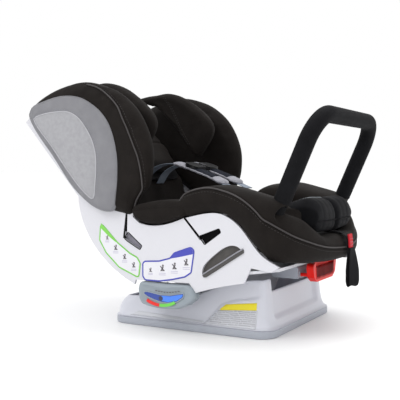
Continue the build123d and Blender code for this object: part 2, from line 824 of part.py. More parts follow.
with BuildPart() as buckle_housing:
    with BuildSketch(buckle_plane):
        RectangleRounded(BUCKLE_SIZE[0] - 8, BUCKLE_SIZE[1], 6)
    with BuildSketch(buckle_plane.offset(BUCKLE_SIZE[2])):
        RectangleRounded(BUCKLE_SIZE[0], BUCKLE_SIZE[1], 6)
    loft()
    # The mouth takes both tongues; the button sits in the front face.
    with BuildSketch(buckle_plane.offset(BUCKLE_SIZE[2] - 20)):
        with Locations((0, 6)):
            Rectangle(42, 4)
    extrude(amount=30, mode=Mode.SUBTRACT)
    with BuildSketch(buckle_front):
        Rectangle(BUTTON_SIZE[0], BUTTON_SIZE[1])
    extrude(amount=-13, mode=Mode.SUBTRACT)
save(buckle_housing.part, "buckle_housing")

with BuildPart() as buckle_button:
    with BuildSketch(buckle_front.offset(-6)):
        RectangleRounded(BUTTON_SIZE[0] - 2 * GAP, BUTTON_SIZE[1] - 2 * GAP, 3)
    extrude(amount=BUTTON_SIZE[2])
save(buckle_button.part, "buckle_button")

tongue_plane = Plane(
    origin=buckle_plane.origin + buckle_plane.y_dir * 7,
    x_dir=(0, 1, 0),
    z_dir=buckle_plane.y_dir,
)

with BuildPart() as buckle_tongues:
    with BuildSketch(tongue_plane):
        for side in (1, -1):
            with Locations((side * 10.5, -(BUCKLE_SIZE[2] - 5))):
                Rectangle(18, 28)
            with Locations((side * 17, -(BUCKLE_SIZE[2] + 14))):
                RectangleRounded(31, 14, 4)
    extrude(amount=-2)
save(buckle_tongues.part, "buckle_tongues")

# Lap straps from the tongues out to the sides of the seat cushion.
LAP_FRONT = Vector(46, 36, 283)
LAP_REAR = Vector(-74, 110, 246)

with BuildPart() as lap_and_crotch_straps:
    lap_run = LAP_FRONT - LAP_REAR
    lap_plane = Plane(
        origin=(LAP_FRONT + LAP_REAR) * 0.5,
        x_dir=lap_run,
        z_dir=lap_run.cross(Vector(0, 0, 1)).normalized(),
    )
    with BuildSketch(lap_plane):
        Rectangle(lap_run.length, 34)
    extrude(amount=1.6)
    mirror(about=Plane.XZ)
    with BuildSketch(buckle_plane.offset(-6)):
        Rectangle(30, 3)
    extrude(amount=6 - GAP)
save(lap_and_crotch_straps.part, "lap_and_crotch_straps")

# Rebound bar.
BAR_PATH = [
    (BAR_HALF_SPAN, -BAR_DEPTH),
    (BAR_HALF_SPAN, BAR_RISE),
    (-BAR_HALF_SPAN, BAR_RISE),
    (-BAR_HALF_SPAN, -BAR_DEPTH),
]
BAR_FOAM_END = -14.0
bar_face = Plane(
    origin=(BAR_FOOT[0], 0, BAR_FOOT[1]),
    x_dir=(0, 1, 0),
    z_dir=(math.sin(BAR_SLOPE), 0, -math.cos(BAR_SLOPE)),
)


def bent_bar(end, outer_radius, inner_radius):
    """A round tube bent along the bar's path, its legs ending at the given height."""
    path = [(BAR_HALF_SPAN, end), *BAR_PATH[1:3], (-BAR_HALF_SPAN, end)]
    with BuildPart() as bent:
        with BuildLine(bar_face) as line:
            FilletPolyline(*path, radius=BAR_CORNER)
        with BuildSketch(bar_plane(end)):
            with Locations((BAR_HALF_SPAN, 0)):
                Circle(outer_radius)
                Circle(inner_radius, mode=Mode.SUBTRACT)
        sweep(path=line.wires()[0])
    return bent.part


save(bent_bar(-BAR_DEPTH, BAR_TUBE_RADIUS, BAR_TUBE_RADIUS - 1.5), "rebound_bar_tube")
save(bent_bar(BAR_FOAM_END, BAR_FOAM_RADIUS, BAR_TUBE_RADIUS + 0.4), "rebound_bar_foam")

# ---------------------------------------------------------------- harness

STRAP_THICKNESS = 1.6
STRAP_WIDTH = 34.0
STRAP_SIDE = 38.0
UPPER_STRAP = [on_back(-250, 57.5), (-188, 342), (-156, 359), (-118, 364), (-82, 356), (-46, 343)]
LOWER_STRAP = [(-44, 342.3), (-8, 329), (24, 314), (44, 306)]
PAD_PATH = [(-96, 355), (-44, 336), (8, 315)]


def ribbon(points, thickness, width, side):
    """A flat band that follows a curve in the upright plane, centred at a distance to the left."""
    with BuildPart() as band:
        with BuildSketch(across(side + width / 2)):
            with BuildLine():
                Spline(points)
            trace(line_width=thickness)
        extrude(amount=width)
    return band.part


save_pair(ribbon(UPPER_STRAP, STRAP_THICKNESS, STRAP_WIDTH, STRAP_SIDE), "shoulder_strap")
save_pair(ribbon(LOWER_STRAP, STRAP_THICKNESS, STRAP_WIDTH, STRAP_SIDE), "harness_strap_lower")
save_pair(ribbon(PAD_PATH, 8, 46, STRAP_SIDE), "shoulder_pad")

CLIP_TILT = math.radians(20)
clip_plane = Plane(
    origin=(-66, 0, 353.5),
    x_dir=(0, 1, 0),
    z_dir=(math.sin(CLIP_TILT), 0, math.cos(CLIP_TILT)),
)
CLIP_BUTTON = 14.0

with BuildPart() as chest_clip:
    with BuildSketch(clip_plane):
        with Locations((31, 0)):
            RectangleRounded(59, 34, 13)
        Rectangle(CLIP_BUTTON + 2 * GAP, CLIP_BUTTON + 2 * GAP, mode=Mode.SUBTRACT)
    extrude(amount=9)
save_pair(chest_clip.part, "chest_clip")

with BuildPart() as chest_clip_button:
    with BuildSketch(clip_plane.offset(3)):
        RectangleRounded(CLIP_BUTTON, CLIP_BUTTON, 3)
    extrude(amount=8)
save(chest_clip_button.part, "chest_clip_button")

# Adjuster strap from under the foot insert, over the nose, with its red tab and hanging loop.
ADJUSTER_WIDTH = 26.0
ADJUSTER_PATH = [(250, 214.3), (284, 214.3), (302.5, 200), (302.5, 181)]
TAIL_PATH = [(303, 179), (301, 140), (301, 112), (307, 98), (314, 104), (317, 130), (312, 178)]
TAIL_THICKNESS = 2.4
TAB_CORNERS = [(304, 180), (304, 206), (300, 211), (309, 209), (311, 180)]

with BuildPart() as adjuster_strap:
    with BuildSketch(Plane.XZ):
        with BuildLine():
            FilletPolyline(*ADJUSTER_PATH, radius=9)
        trace(line_width=STRAP_THICKNESS)
    extrude(amount=ADJUSTER_WIDTH / 2, both=True)
save(adjuster_strap.part, "adjuster_strap")

with BuildPart() as adjuster_tab:
    with BuildSketch(Plane.XZ):
        with BuildLine():
            FilletPolyline(*TAB_CORNERS, radius=1.5, close=True)
        make_face()
    extrude(amount=ADJUSTER_WIDTH / 2, both=True)
save(adjuster_tab.part, "adjuster_tab")

with BuildPart() as adjuster_tail:
    with BuildSketch(Plane.XZ):
        with BuildLine():
            Spline(TAIL_PATH)
        trace(line_width=TAIL_THICKNESS)
    extrude(amount=ADJUSTER_WIDTH / 2, both=True)
save(adjuster_tail.part, "adjuster_tail")
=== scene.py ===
import math

import bmesh
import bpy
import numpy as np
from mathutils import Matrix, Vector
from mathutils.bvhtree import BVHTree


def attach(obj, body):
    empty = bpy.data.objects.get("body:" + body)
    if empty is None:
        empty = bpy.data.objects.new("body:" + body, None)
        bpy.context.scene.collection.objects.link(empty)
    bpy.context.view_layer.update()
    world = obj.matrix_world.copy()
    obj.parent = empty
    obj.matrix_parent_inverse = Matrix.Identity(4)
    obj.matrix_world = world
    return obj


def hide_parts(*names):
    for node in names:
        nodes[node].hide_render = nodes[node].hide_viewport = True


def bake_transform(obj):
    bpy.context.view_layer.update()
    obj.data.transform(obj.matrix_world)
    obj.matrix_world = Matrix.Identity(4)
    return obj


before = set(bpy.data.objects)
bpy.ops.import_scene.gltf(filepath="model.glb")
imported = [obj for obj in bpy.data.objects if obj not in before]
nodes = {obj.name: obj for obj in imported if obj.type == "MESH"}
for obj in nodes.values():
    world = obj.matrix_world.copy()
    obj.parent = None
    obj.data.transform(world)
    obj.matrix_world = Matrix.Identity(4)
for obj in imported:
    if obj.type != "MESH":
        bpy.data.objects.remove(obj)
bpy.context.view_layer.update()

SIDES = {"right": -1, "left": 1}
SHELL_FACE = 225
LABEL_FACE = SHELL_FACE + 0.15
PIPING_RADIUS = 1.7

# ---- camera

CAMERA_YAW = math.radians(29.2)
CAMERA_PITCH = math.radians(2.34)
CAMERA_PLACE = (0.799, -1.554, 0.349)
CAMERA_SENSOR = 36
CAMERA_LENS = 66.15


def add(name, data):
    """A new object in the scene."""
    made = bpy.data.objects.new(name, data)
    bpy.context.collection.objects.link(made)
    return made


camera = add("camera", bpy.data.cameras.new("camera"))
camera.data.sensor_width = CAMERA_SENSOR
camera.data.lens = CAMERA_LENS
camera.location = CAMERA_PLACE
look = Vector((
    -math.sin(CAMERA_YAW) * math.cos(CAMERA_PITCH),
    math.cos(CAMERA_YAW) * math.cos(CAMERA_PITCH),
    -math.sin(CAMERA_PITCH),
))
camera.rotation_euler = look.to_track_quat("-Z", "Y").to_euler()
bpy.context.scene.camera = camera


# ---- materials

mats = {}


def material(name, colour, roughness, second=None, metal=0.0, sheen=0.0, coat=0.0, gloss=0.5,
             patches=40.0, bumps=()):
    """A plain or lightly mottled surface. Each bump is (kind, scale, depth, direction)."""
    made = bpy.data.materials.new(name)
    made.use_nodes = True
    tree = made.node_tree
    shader = tree.nodes["Principled BSDF"]
    shader.inputs["Base Color"].default_value = (*colour, 1)
    shader.inputs["Roughness"].default_value = roughness
    shader.inputs["Metallic"].default_value = metal
    shader.inputs["Sheen Weight"].default_value = sheen
    shader.inputs["Sheen Roughness"].default_value = 0.5
    shader.inputs["Coat Weight"].default_value = coat
    shader.inputs["Specular IOR Level"].default_value = gloss
    where = tree.nodes.new("ShaderNodeTexCoord")
    if second:
        noise = tree.nodes.new("ShaderNodeTexNoise")
        noise.inputs["Scale"].default_value = patches
        noise.inputs["Detail"].default_value = 6
        ramp = tree.nodes.new("ShaderNodeValToRGB")
        ramp.color_ramp.elements[0].position = 0.3
        ramp.color_ramp.elements[0].color = (*colour, 1)
        ramp.color_ramp.elements[1].position = 0.7
        ramp.color_ramp.elements[1].color = (*second, 1)
        tree.links.new(where.outputs["Object"], noise.inputs["Vector"])
        tree.links.new(noise.outputs["Fac"], ramp.inputs["Fac"])
        tree.links.new(ramp.outputs["Color"], shader.inputs["Base Color"])
    normal = None
    for kind, scale, depth, direction in bumps:
        if kind == "wave":
            texture = tree.nodes.new("ShaderNodeTexWave")
            texture.bands_direction = direction
            height = texture.outputs["Fac"]
        elif kind == "cells":
            texture = tree.nodes.new("ShaderNodeTexVoronoi")
            height = texture.outputs["Distance"]
        else:
            texture = tree.nodes.new("ShaderNodeTexNoise")
            texture.inputs["Detail"].default_value = 4
            height = texture.outputs["Fac"]
        texture.inputs["Scale"].default_value = scale
        tree.links.new(where.outputs["Object"], texture.inputs["Vector"])
        bump = tree.nodes.new("ShaderNodeBump")
        bump.inputs["Distance"].default_value = depth
        bump.inputs["Strength"].default_value = 0.6
        tree.links.new(height, bump.inputs["Height"])
        if normal:
            tree.links.new(normal, bump.inputs["Normal"])
        normal = bump.outputs["Normal"]
    if normal:
        tree.links.new(normal, shader.inputs["Normal"])
    mats[name] = made
    return made


WEAVE = (("wave", 330, 0.0005, "X"), ("wave", 330, 0.0005, "Z"), ("noise", 60, 0.0008, None))
KNIT = (("cells", 420, 0.0006, None), ("noise", 45, 0.001, None))
TAPE = (("wave", 260, 0.0005, "DIAGONAL"), ("noise", 300, 0.0003, None))
GRAIN = (("noise", 900, 0.0002, None),)
SATIN = (("noise", 300, 0.0001, None),)

CLOTH_GLOSS = 0.12

material("shell_plastic", (0.64, 0.64, 0.68), 0.32, coat=0.1, bumps=SATIN)
material("base_plastic", (0.61, 0.62, 0.68), 0.38, coat=0.05, bumps=SATIN)
material("skirt_plastic", (0.37, 0.39, 0.44), 0.45, bumps=GRAIN)
material("rubber", (0.02, 0.02, 0.022), 0.8, gloss=0.3, bumps=GRAIN)
material("steel", (0.55, 0.56, 0.58), 0.3, metal=1.0, bumps=SATIN)
material("tongue_steel", (0.65, 0.66, 0.68), 0.2, metal=1.0, bumps=SATIN)
material("black_cover", (0.0085, 0.0066, 0.0058), 0.75, second=(0.0125, 0.0100, 0.0088), sheen=0.012,
         gloss=CLOTH_GLOSS, bumps=KNIT)
material("grey_cover", (0.33, 0.33, 0.35), 0.62, second=(0.38, 0.38, 0.40), patches=120, sheen=0.05,
         gloss=0.25, bumps=(("wave", 150, 0.0006, "X"), ("noise", 500, 0.0004, None)))
material("grey_border", (0.24, 0.24, 0.26), 0.6, second=(0.275, 0.275, 0.295), sheen=0.05, gloss=0.25,
         bumps=WEAVE)
material("quilted_fabric", (0.0055, 0.0055, 0.0070), 0.7, second=(0.0085, 0.0085, 0.0105), sheen=0.004,
         gloss=0.1, bumps=WEAVE)
material("pocket_weave", (0.075, 0.070, 0.066), 0.6, second=(0.105, 0.098, 0.092), bumps=WEAVE)
material("gauge_plastic", (0.27, 0.31, 0.345), 0.42, bumps=GRAIN)
material("gauge_window", (0.010, 0.045, 0.30), 0.15, coat=0.4)
material("gauge_glass", (0.04, 0.20, 0.80), 0.15, coat=0.4)
material("gauge_ball", (0.01, 0.012, 0.06), 0.2, coat=0.5)
material("black_webbing", (0.006, 0.006, 0.007), 0.7, second=(0.010, 0.010, 0.012), gloss=CLOTH_GLOSS,
         bumps=TAPE)
material("grey_webbing", (0.20, 0.235, 0.29), 0.62, second=(0.25, 0.285, 0.345), gloss=0.25, bumps=TAPE)
material("pad_fabric", (0.006, 0.008, 0.014), 0.75, second=(0.009, 0.011, 0.019), sheen=0.003, gloss=0.08,
         bumps=KNIT)
material("black_plastic", (0.008, 0.008, 0.009), 0.35, gloss=0.4, bumps=GRAIN)
material("grey_button", (0.045, 0.045, 0.05), 0.4, bumps=GRAIN)
material("red_plastic", (0.78, 0.010, 0.006), 0.35, gloss=0.2, bumps=SATIN)
material("red_fabric", (0.55, 0.012, 0.025), 0.6, gloss=0.25, bumps=TAPE)
material("foam", (0.0045, 0.0045, 0.0055), 0.8, second=(0.007, 0.007, 0.0085), gloss=CLOTH_GLOSS,
         bumps=(("noise", 700, 0.0006, None),))
material("piping", (0.060, 0.055, 0.055), 0.6, gloss=0.25, bumps=TAPE)
material("thread", (0.035, 0.032, 0.032), 0.6, gloss=0.25)
material("welt", (0.50, 0.50, 0.53), 0.6, gloss=0.25, bumps=TAPE)
material("trim", (0.33, 0.33, 0.37), 0.6, gloss=0.25, bumps=WEAVE)
# Dark red for the handle's ribs: painted shade standing for the shaded ribbed front face of the red handle.
material("painted_shade_red", (0.13, 0.004, 0.006), 0.4, bumps=SATIN)
material("label", (0.72, 0.72, 0.76), 0.35)
material("label_green", (0.20, 0.58, 0.08), 0.4)
material("label_blue", (0.05, 0.06, 0.42), 0.4)
material("label_grey", (0.40, 0.40, 0.43), 0.5)
material("base_label", (0.56, 0.57, 0.61), 0.4)
material("label_yellow", (0.80, 0.68, 0.015), 0.45)
material("scale_red", (0.75, 0.015, 0.01), 0.4)
material("scale_green", (0.16, 0.60, 0.08), 0.4)
material("shade", (0.004, 0.004, 0.0045), 0.9, gloss=CLOTH_GLOSS)
material("tag", (0.19, 0.215, 0.235), 0.6, gloss=0.25, bumps=TAPE)
material("slot_grey", (0.30, 0.29, 0.34), 0.6, gloss=0.3, bumps=WEAVE)
material("label_mark", (0.12, 0.11, 0.12), 0.5)
material("label_text", (0.48, 0.46, 0.58), 0.5)
material("pocket_lip", (0.055, 0.052, 0.050), 0.5, bumps=GRAIN)
material("matt_black", (0.0045, 0.0045, 0.0055), 0.8, gloss=CLOTH_GLOSS, bumps=GRAIN)


# ---- geometry helpers (millimetres in, metres out)

BACK_TOP = (-418, 462)
BACK_LEAN = (0.6697, 0.7426)


def on_back(up, out):
    """A point (x, z) up the seat back from its top edge and out of its front face."""
    rearward, upward = BACK_LEAN
    return (BACK_TOP[0] - rearward * up + upward * out, BACK_TOP[1] + upward * up + rearward * out)


def at_y(points, y):
    """Points given in X and Z, set at one Y."""
    return [(p[0], y, p[1]) for p in points]


def ring_at(outline, count, y):
    """Evenly spaced points round a closed outline in X and Z, set at one Y."""
    return at_y(resample(np.vstack([outline, outline[:1]]), count, True), y)


def circle(x, z, radius, count):
    """A closed outline in X and Z."""
    return [(x + radius * math.cos(w), z + radius * math.sin(w))
            for w in np.linspace(0, 2 * math.pi, count, endpoint=False)]


def curve(points, count, closed=False):
    """Evenly spaced points on a smooth line through the given ones."""
    p = np.array(points, float)
    p = np.vstack([p[-1], p, p[:2]]) if closed else np.vstack([2 * p[0] - p[1], p, 2 * p[-1] - p[-2]])
    dense = []
    for a, b, c, d in zip(p, p[1:], p[2:], p[3:]):
        ab, bc, cd = (max(np.linalg.norm(v), 1e-6) ** 0.5 for v in (b - a, c - b, d - c))
        start = (c - b) + bc * ((b - a) / ab - (c - a) / (ab + bc))
        end = (c - b) + bc * ((d - c) / cd - (d - b) / (bc + cd))
        for t in np.linspace(0, 1, 24, endpoint=False):
            dense.append((2 * t**3 - 3 * t**2 + 1) * b + (t**3 - 2 * t**2 + t) * start
                         + (-2 * t**3 + 3 * t**2) * c + (t**3 - t**2) * end)
    dense.append(p[-2])
    return resample(np.array(dense), count, closed)


def resample(dense, count, closed=False):
    """The same line with evenly spaced points."""
    steps = np.linalg.norm(np.diff(dense, axis=0), axis=1)
    along = np.concatenate([[0], np.cumsum(steps)])
    at = np.linspace(0, along[-1], count, endpoint=not closed)
    return np.stack([np.interp(at, along, dense[:, k]) for k in range(dense.shape[1])], axis=1)


def rounded(points, radius, count=0):
    """A closed outline with its corners rounded."""
    p = np.array(points, float)
    made = []
    for before, here, after in zip(np.roll(p, 1, 0), p, np.roll(p, -1, 0)):
        a, b = before - here, after - here
        la, lb = np.linalg.norm(a), np.linalg.norm(b)
        a, b = a / la, b / lb
        half = math.acos(max(-0.9999, min(0.9999, float(a @ b)))) / 2
        reach = min(radius / math.tan(half), 0.48 * la, 0.48 * lb)
        start, end = here + a * reach, here + b * reach
        for t in np.linspace(0, 1, 7):
            made.append((1 - t) ** 2 * start + 2 * t * (1 - t) * here + t**2 * end)
    made = np.array(made)
    return resample(np.vstack([made, made[:1]]), count, True) if count else made


def mesh_object(name, points, faces, finish, sharp=None):
    """A mesh piece from points in millimetres."""
    data = bpy.data.meshes.new(name)
    data.from_pydata([tuple(c / 1000 for c in p) for p in points], [], [tuple(f) for f in faces])
    data.validate()
    data.materials.append(mats[finish])
    data.shade_smooth()
    made = add(name, data)
    if sharp:
        data.set_sharp_from_angle(angle=math.radians(sharp))
    face_outwards(made)
    return made


def face_outwards(obj):
    """Turns every face of a closed mesh to point outwards."""
    work = bmesh.new()
    work.from_mesh(obj.data)
    bmesh.ops.recalc_face_normals(work, faces=work.faces)
    work.to_mesh(obj.data)
    work.free()


def loft(name, rings, finish, sharp=None, close_path=False):
    """A closed tube through rings of points, all with the same number of points."""
    size = len(rings[0])
    points = [p for ring in rings for p in ring]
    faces = []
    spans = len(rings) if close_path else len(rings) - 1
    for i in range(spans):
        for j in range(size):
            k = (j + 1) % size
            n = (i + 1) % len(rings)
            faces.append((i * size + j, i * size + k, n * size + k, n * size + j))
    if not close_path:
        for ring, start in ((rings[0], 0), (rings[-1], (len(rings) - 1) * size)):
            middle = len(points)
            points.append(np.mean(np.array(ring), axis=0))
            faces += [(start + j, start + (j + 1) % size, middle) for j in range(size)]
    return mesh_object(name, points, faces, finish, sharp=sharp)


def tube(name, path, radius, finish, sides=8, closed=False, flat=1.0, up=(0, 1, 0)):
    """A round or oval bead along a path."""
    path = np.array(path, float)
    ahead = np.roll(path, -1, 0) - np.roll(path, 1, 0)
    if not closed:
        ahead[0], ahead[-1] = path[1] - path[0], path[-1] - path[-2]
    rings = []
    for p, t in zip(path, ahead):
        t = t / max(np.linalg.norm(t), 1e-9)
        a = np.cross(t, np.array(up, float))
        if np.linalg.norm(a) < 0.1:
            a = np.cross(t, (0.3, 0.2, 1))
        a /= np.linalg.norm(a)
        b = np.cross(t, a)
        rings.append([p + radius * (math.cos(w) * a + flat * math.sin(w) * b)
                      for w in np.linspace(0, 2 * math.pi, sides, endpoint=False)])
    return loft(name, rings, finish, close_path=closed)


def strap(name, path, width, thickness, across, finish):
    """Flat webbing with rounded selvedges along a path. across is the direction of its width."""
    path = np.array(path, float)
    across = np.broadcast_to(np.array(across, float), path.shape)
    ahead = np.gradient(path, axis=0)
    rings = []
    for p, t, w in zip(path, ahead, across):
        t = t / np.linalg.norm(t)
        w = w - t * (w @ t)
        w = w / np.linalg.norm(w)
        n = np.cross(t, w)
        ring = []
        for u, v in ((-1, 0), (-0.97, 0.8), (-0.85, 1), (-0.4, 0.86), (0, 0.86), (0.4, 0.86), (0.85, 1),
                     (0.97, 0.8), (1, 0),
                     (0.97, -0.8), (0.85, -1), (0.4, -0.86), (0, -0.86), (-0.4, -0.86), (-0.85, -1),
                     (-0.97, -0.8)):
            ring.append(p + w * u * width / 2 + n * v * thickness / 2)
        rings.append(ring)
    return loft(name, rings, finish)


PLATE_SHARP = math.radians(40)


def plate(name, outline, y_from, y_to, finish, bevel=0.8):
    """A flat plate across Y from an outline in X and Z, with softened edges."""
    line = bpy.data.curves.new(name, "CURVE")
    line.dimensions = "2D"
    line.fill_mode = "BOTH"
    spline = line.splines.new("POLY")
    spline.points.add(len(outline) - 1)
    for at, p in zip(spline.points, outline):
        at.co = (p[0] / 1000, p[1] / 1000, 0, 1)
    spline.use_cyclic_u = True
    line.extrude = max(abs(y_to - y_from) / 2 - bevel, 0.01) / 1000
    line.bevel_depth = bevel / 1000
    line.offset = -bevel / 1000
    line.bevel_resolution = 2
    holder = add(name + "_line", line)
    data = bpy.data.meshes.new_from_object(holder.evaluated_get(bpy.context.evaluated_depsgraph_get()))
    bpy.data.objects.remove(holder)
    bpy.data.curves.remove(line)
    middle = (y_from + y_to) / 2000
    for v in data.vertices:
        x, z, y = v.co
        v.co = (x, middle + y, z)
    data.materials.clear()
    data.materials.append(mats[finish])
    data.shade_smooth()
    made = add(name, data)
    face_outwards(made)
    data.set_sharp_from_angle(angle=PLATE_SHARP)
    return made


def pad(name, outline, rings, side, finish, centre, inner=None):
    """A stuffed slab across Y, with a closed outline in X and Z.

    Each ring is (inset, share, y): the outline pulled in by inset, then moved by share of the way to the
    inner line, or to the centre where there is none."""
    outline = np.array(outline, float)
    centre = np.array(centre, float)
    towards = centre - outline
    towards /= np.linalg.norm(towards, axis=1)[:, None]
    target = np.broadcast_to(centre, outline.shape) if inner is None else np.array(inner, float)
    made = []
    for inset, share, y in rings:
        line = outline + towards * inset
        if share <= 1:
            line = line + (target - line) * share
        else:
            line = target + (centre - target) * (share - 1)
        made.append(at_y(line, y * side))
    return loft(name, made, finish)


def match(line, centre, outline):
    """The points of a closed line that lie in the same directions from the centre as the outline's."""
    line, outline, centre = np.array(line), np.array(outline), np.array(centre, float)
    angles = np.arctan2(*(line - centre).T[::-1])
    order = np.argsort(angles)
    radii = np.linalg.norm(line - centre, axis=1)[order]
    wanted = np.arctan2(*(outline - centre).T[::-1])
    reach = np.interp(wanted, angles[order], radii, period=2 * math.pi)
    return centre + np.stack([np.cos(wanted), np.sin(wanted)], axis=1) * reach[:, None]


def only(obj):
    """Makes a piece the only selected one."""
    bpy.ops.object.select_all(action="DESELECT")
    obj.select_set(True)
    bpy.context.view_layer.objects.active = obj


CLOTH_FRAMES = 20
CLOTH_STIFFNESS = 25
CLOTH_BENDING = 2


def puff(obj, pressure=4.0, most=6.0, voxel=5.0):
    """Fills a closed fabric piece with a cloth simulation, which moves no point by more than most."""
    only(obj)
    obj.data.remesh_voxel_size = voxel / 1000
    bpy.ops.object.voxel_remesh()
    before = np.zeros(len(obj.data.vertices) * 3)
    obj.data.vertices.foreach_get("co", before)
    cloth = obj.modifiers.new("fill", "CLOTH")
    cloth.settings.use_pressure = True
    cloth.settings.uniform_pressure_force = pressure
    cloth.settings.effector_weights.gravity = 0
    cloth.settings.tension_stiffness = CLOTH_STIFFNESS
    cloth.settings.compression_stiffness = CLOTH_STIFFNESS
    cloth.settings.bending_stiffness = CLOTH_BENDING
    cloth.settings.quality = 5
    for step in range(1, CLOTH_FRAMES + 1):
        bpy.context.scene.frame_set(step)
    now = obj.evaluated_get(bpy.context.evaluated_depsgraph_get())
    after = np.zeros(len(now.data.vertices) * 3)
    now.data.vertices.foreach_get("co", after)
    obj.modifiers.remove(cloth)
    move = (after - before).reshape(-1, 3)
    size = np.linalg.norm(move, axis=1)[:, None]
    move *= np.minimum(1, most / 1000 / np.maximum(size, 1e-9))
    obj.data.vertices.foreach_set("co", (before.reshape(-1, 3) + move).ravel())
    bpy.context.scene.frame_set(1)
    finer = obj.modifiers.new("finer", "SUBSURF")
    finer.levels = 1
    bpy.ops.object.modifier_apply(modifier="finer")
    obj.data.shade_smooth()
    return obj


def on_surface(obj, points, lift=0.0):
    """The nearest places on a piece to the given points, lifted off it, in millimetres."""
    tree = BVHTree.FromPolygons([v.co for v in obj.data.vertices], [p.vertices for p in obj.data.polygons])
    made = []
    for p in points:
        place, normal, _, _ = tree.find_nearest(Vector(p) / 1000)
        made.append((place + normal * lift / 1000) * 1000)
    return np.array([tuple(p) for p in made])


def crease(obj, points, width=6.0, depth=2.5):
    """Presses a sewn channel into a piece along a line."""
    line = np.array(points) / 1000
    data = obj.data
    place = np.zeros(len(data.vertices) * 3)
    data.vertices.foreach_get("co", place)
    place = place.reshape(-1, 3)
    normals = np.array([tuple(v.normal) for v in data.vertices])
    nearest = np.full(len(place), 1e9)
    for p in line:
        nearest = np.minimum(nearest, np.linalg.norm(place - p, axis=1))
    push = depth / 1000 * np.exp(-((nearest / (width / 2000)) ** 2))
    data.vertices.foreach_set("co", (place - normals * push[:, None]).ravel())
    data.update()


def stitches(name, path, finish="thread", length=4.5, gap=2.5, radius=0.55):
    """A row of thread stitches along a path."""
    path = np.array(path, float)
    steps = np.linalg.norm(np.diff(path, axis=0), axis=1)
    count = max(2, int(steps.sum() / (length + gap)))
    places = resample(path, count * 2 + 1)
    points, faces = [], []
    for i in range(count):
        a, b = places[2 * i], places[2 * i + 1]
        t = (b - a) / max(np.linalg.norm(b - a), 1e-9)
        side = np.cross(t, (0.1, 0.9, 0.3))
        side /= np.linalg.norm(side)
        other = np.cross(t, side)
        start = len(points)
        for share, size in ((0, 0.3), (0.2, 1), (1.0, 1), (1.25, 0.3)):
            for w in range(6):
                angle = w * math.pi / 3
                around = math.cos(angle) * side + math.sin(angle) * other
                points.append(a + (b - a) * share + radius * size * around)
        for k in range(3):
            for w in range(6):
                n = (w + 1) % 6
                faces.append((start + k * 6 + w, start + k * 6 + n, start + k * 6 + 6 + n,
                              start + k * 6 + 6 + w))
        faces.append(tuple(start + w for w in range(6)))
        faces.append(tuple(start + 18 + w for w in range(6)))
    return mesh_object(name, points, faces, finish)


def put(obj, body, replaces=()):
    """Rides a piece on its body, and hides the CAD parts that it stands for."""
    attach(obj, body)
    if replaces:
        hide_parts(*replaces)
    return obj


def finish_node(node, finish):
    """Gives a CAD body its material."""
    data = nodes[node].data
    if not data.materials:
        data.materials.append(mats[finish])
    for i in range(len(data.materials)):
        data.materials[i] = mats[finish]


NODE_FINISH = {
    "base_plastic": ["base_shell"],
    "rubber": ["base_grip_pads"],
    "shell_plastic": ["seat_shell"],
    "steel": ["recline_rack_left", "recline_rack_right", "recline_cross_pin", "pan_hinge_pins",
              "headrest_guide_rods", "harness_yoke", "tether_hook", "rebound_bar_tube"],
    "skirt_plastic": ["handle_housing"],
    "red_plastic": ["recline_handle", "buckle_button"],
    "black_plastic": ["headrest_frame", "seat_pan_frame", "buckle_housing", "chest_clip_left",
                      "chest_clip_right"],
    "grey_button": ["headrest_grip", "pan_release_button", "adjuster_lever", "chest_clip_button"],
    "matt_black": ["bar_sockets"],
    "tongue_steel": ["buckle_tongues"],
    "foam": ["rebound_bar_foam"],
    "gauge_plastic": ["level_housing_left", "level_housing_right"],
    "gauge_window": ["level_window_left", "level_window_right"],
    "gauge_ball": ["level_ball_left", "level_ball_right"],
    "pocket_weave": ["side_pocket_left", "side_pocket_right"],
}
for finish, names in NODE_FINISH.items():
    for node in names:
        finish_node(node, finish)


# ---- wing covers

COVER = [(-138, 250), (-114, 248), (-96, 284), (-70, 318), (-61, 372), (-66, 414), (-84, 457), (-109, 491),
         (-149, 522), (-192, 541), (-240, 551), (-290, 546), (-340, 532), (-385, 509), (-408, 486),
         (-404, 472), (-325, 388), (-262, 320), (-222, 290), (-190, 266), (-160, 254)]
COVER_CENTRE = (-235, 400)
COVER_FACE = 236
COVER_RINGS = [(150, 0.85, 199), (40, 0.3, 197), (24, 0, 198), (12, 0, 201), (4, 0, 206), (0, 0, 214),
               (0, 0, 222), (3, 0, 229), (9, 0, 234), (18, 0, 237), (30, 0, 238), (50, 0.3, 238),
               (150, 0.85, 238)]
PIPING_LINE = [(-86, 262), (-78, 284), (-80, 316), (-84, 350), (-89, 376), (-98, 400), (-118, 443),
               (-143, 486), (-171, 514), (-203, 535), (-238, 546)]


def wing_cover(word, side):
    outline = curve(COVER, 170, True)
    piece = pad("wing_cover_" + word + "_fabric", outline, COVER_RINGS, side, "black_cover", COVER_CENTRE)
    puff(piece, 3.0, 4.0)
    line = on_surface(piece, curve(at_y(PIPING_LINE, COVER_FACE * side), 120), 0.6)
    crease(piece, line, 9, 1.6)
    bead = tube("wing_piping_" + word, curve(line[::4], 120), PIPING_RADIUS, "piping")
    put(piece, "shell", ["wing_cover_" + word])
    put(bead, "shell")
    inner = on_surface(piece, curve([(x + 9, COVER_FACE * side, z - 1) for x, z in PIPING_LINE], 120), 0.1)
    put(stitches("wing_stitches_" + word, curve(inner[::4], 200)), "shell")


# ---- grey side cushions

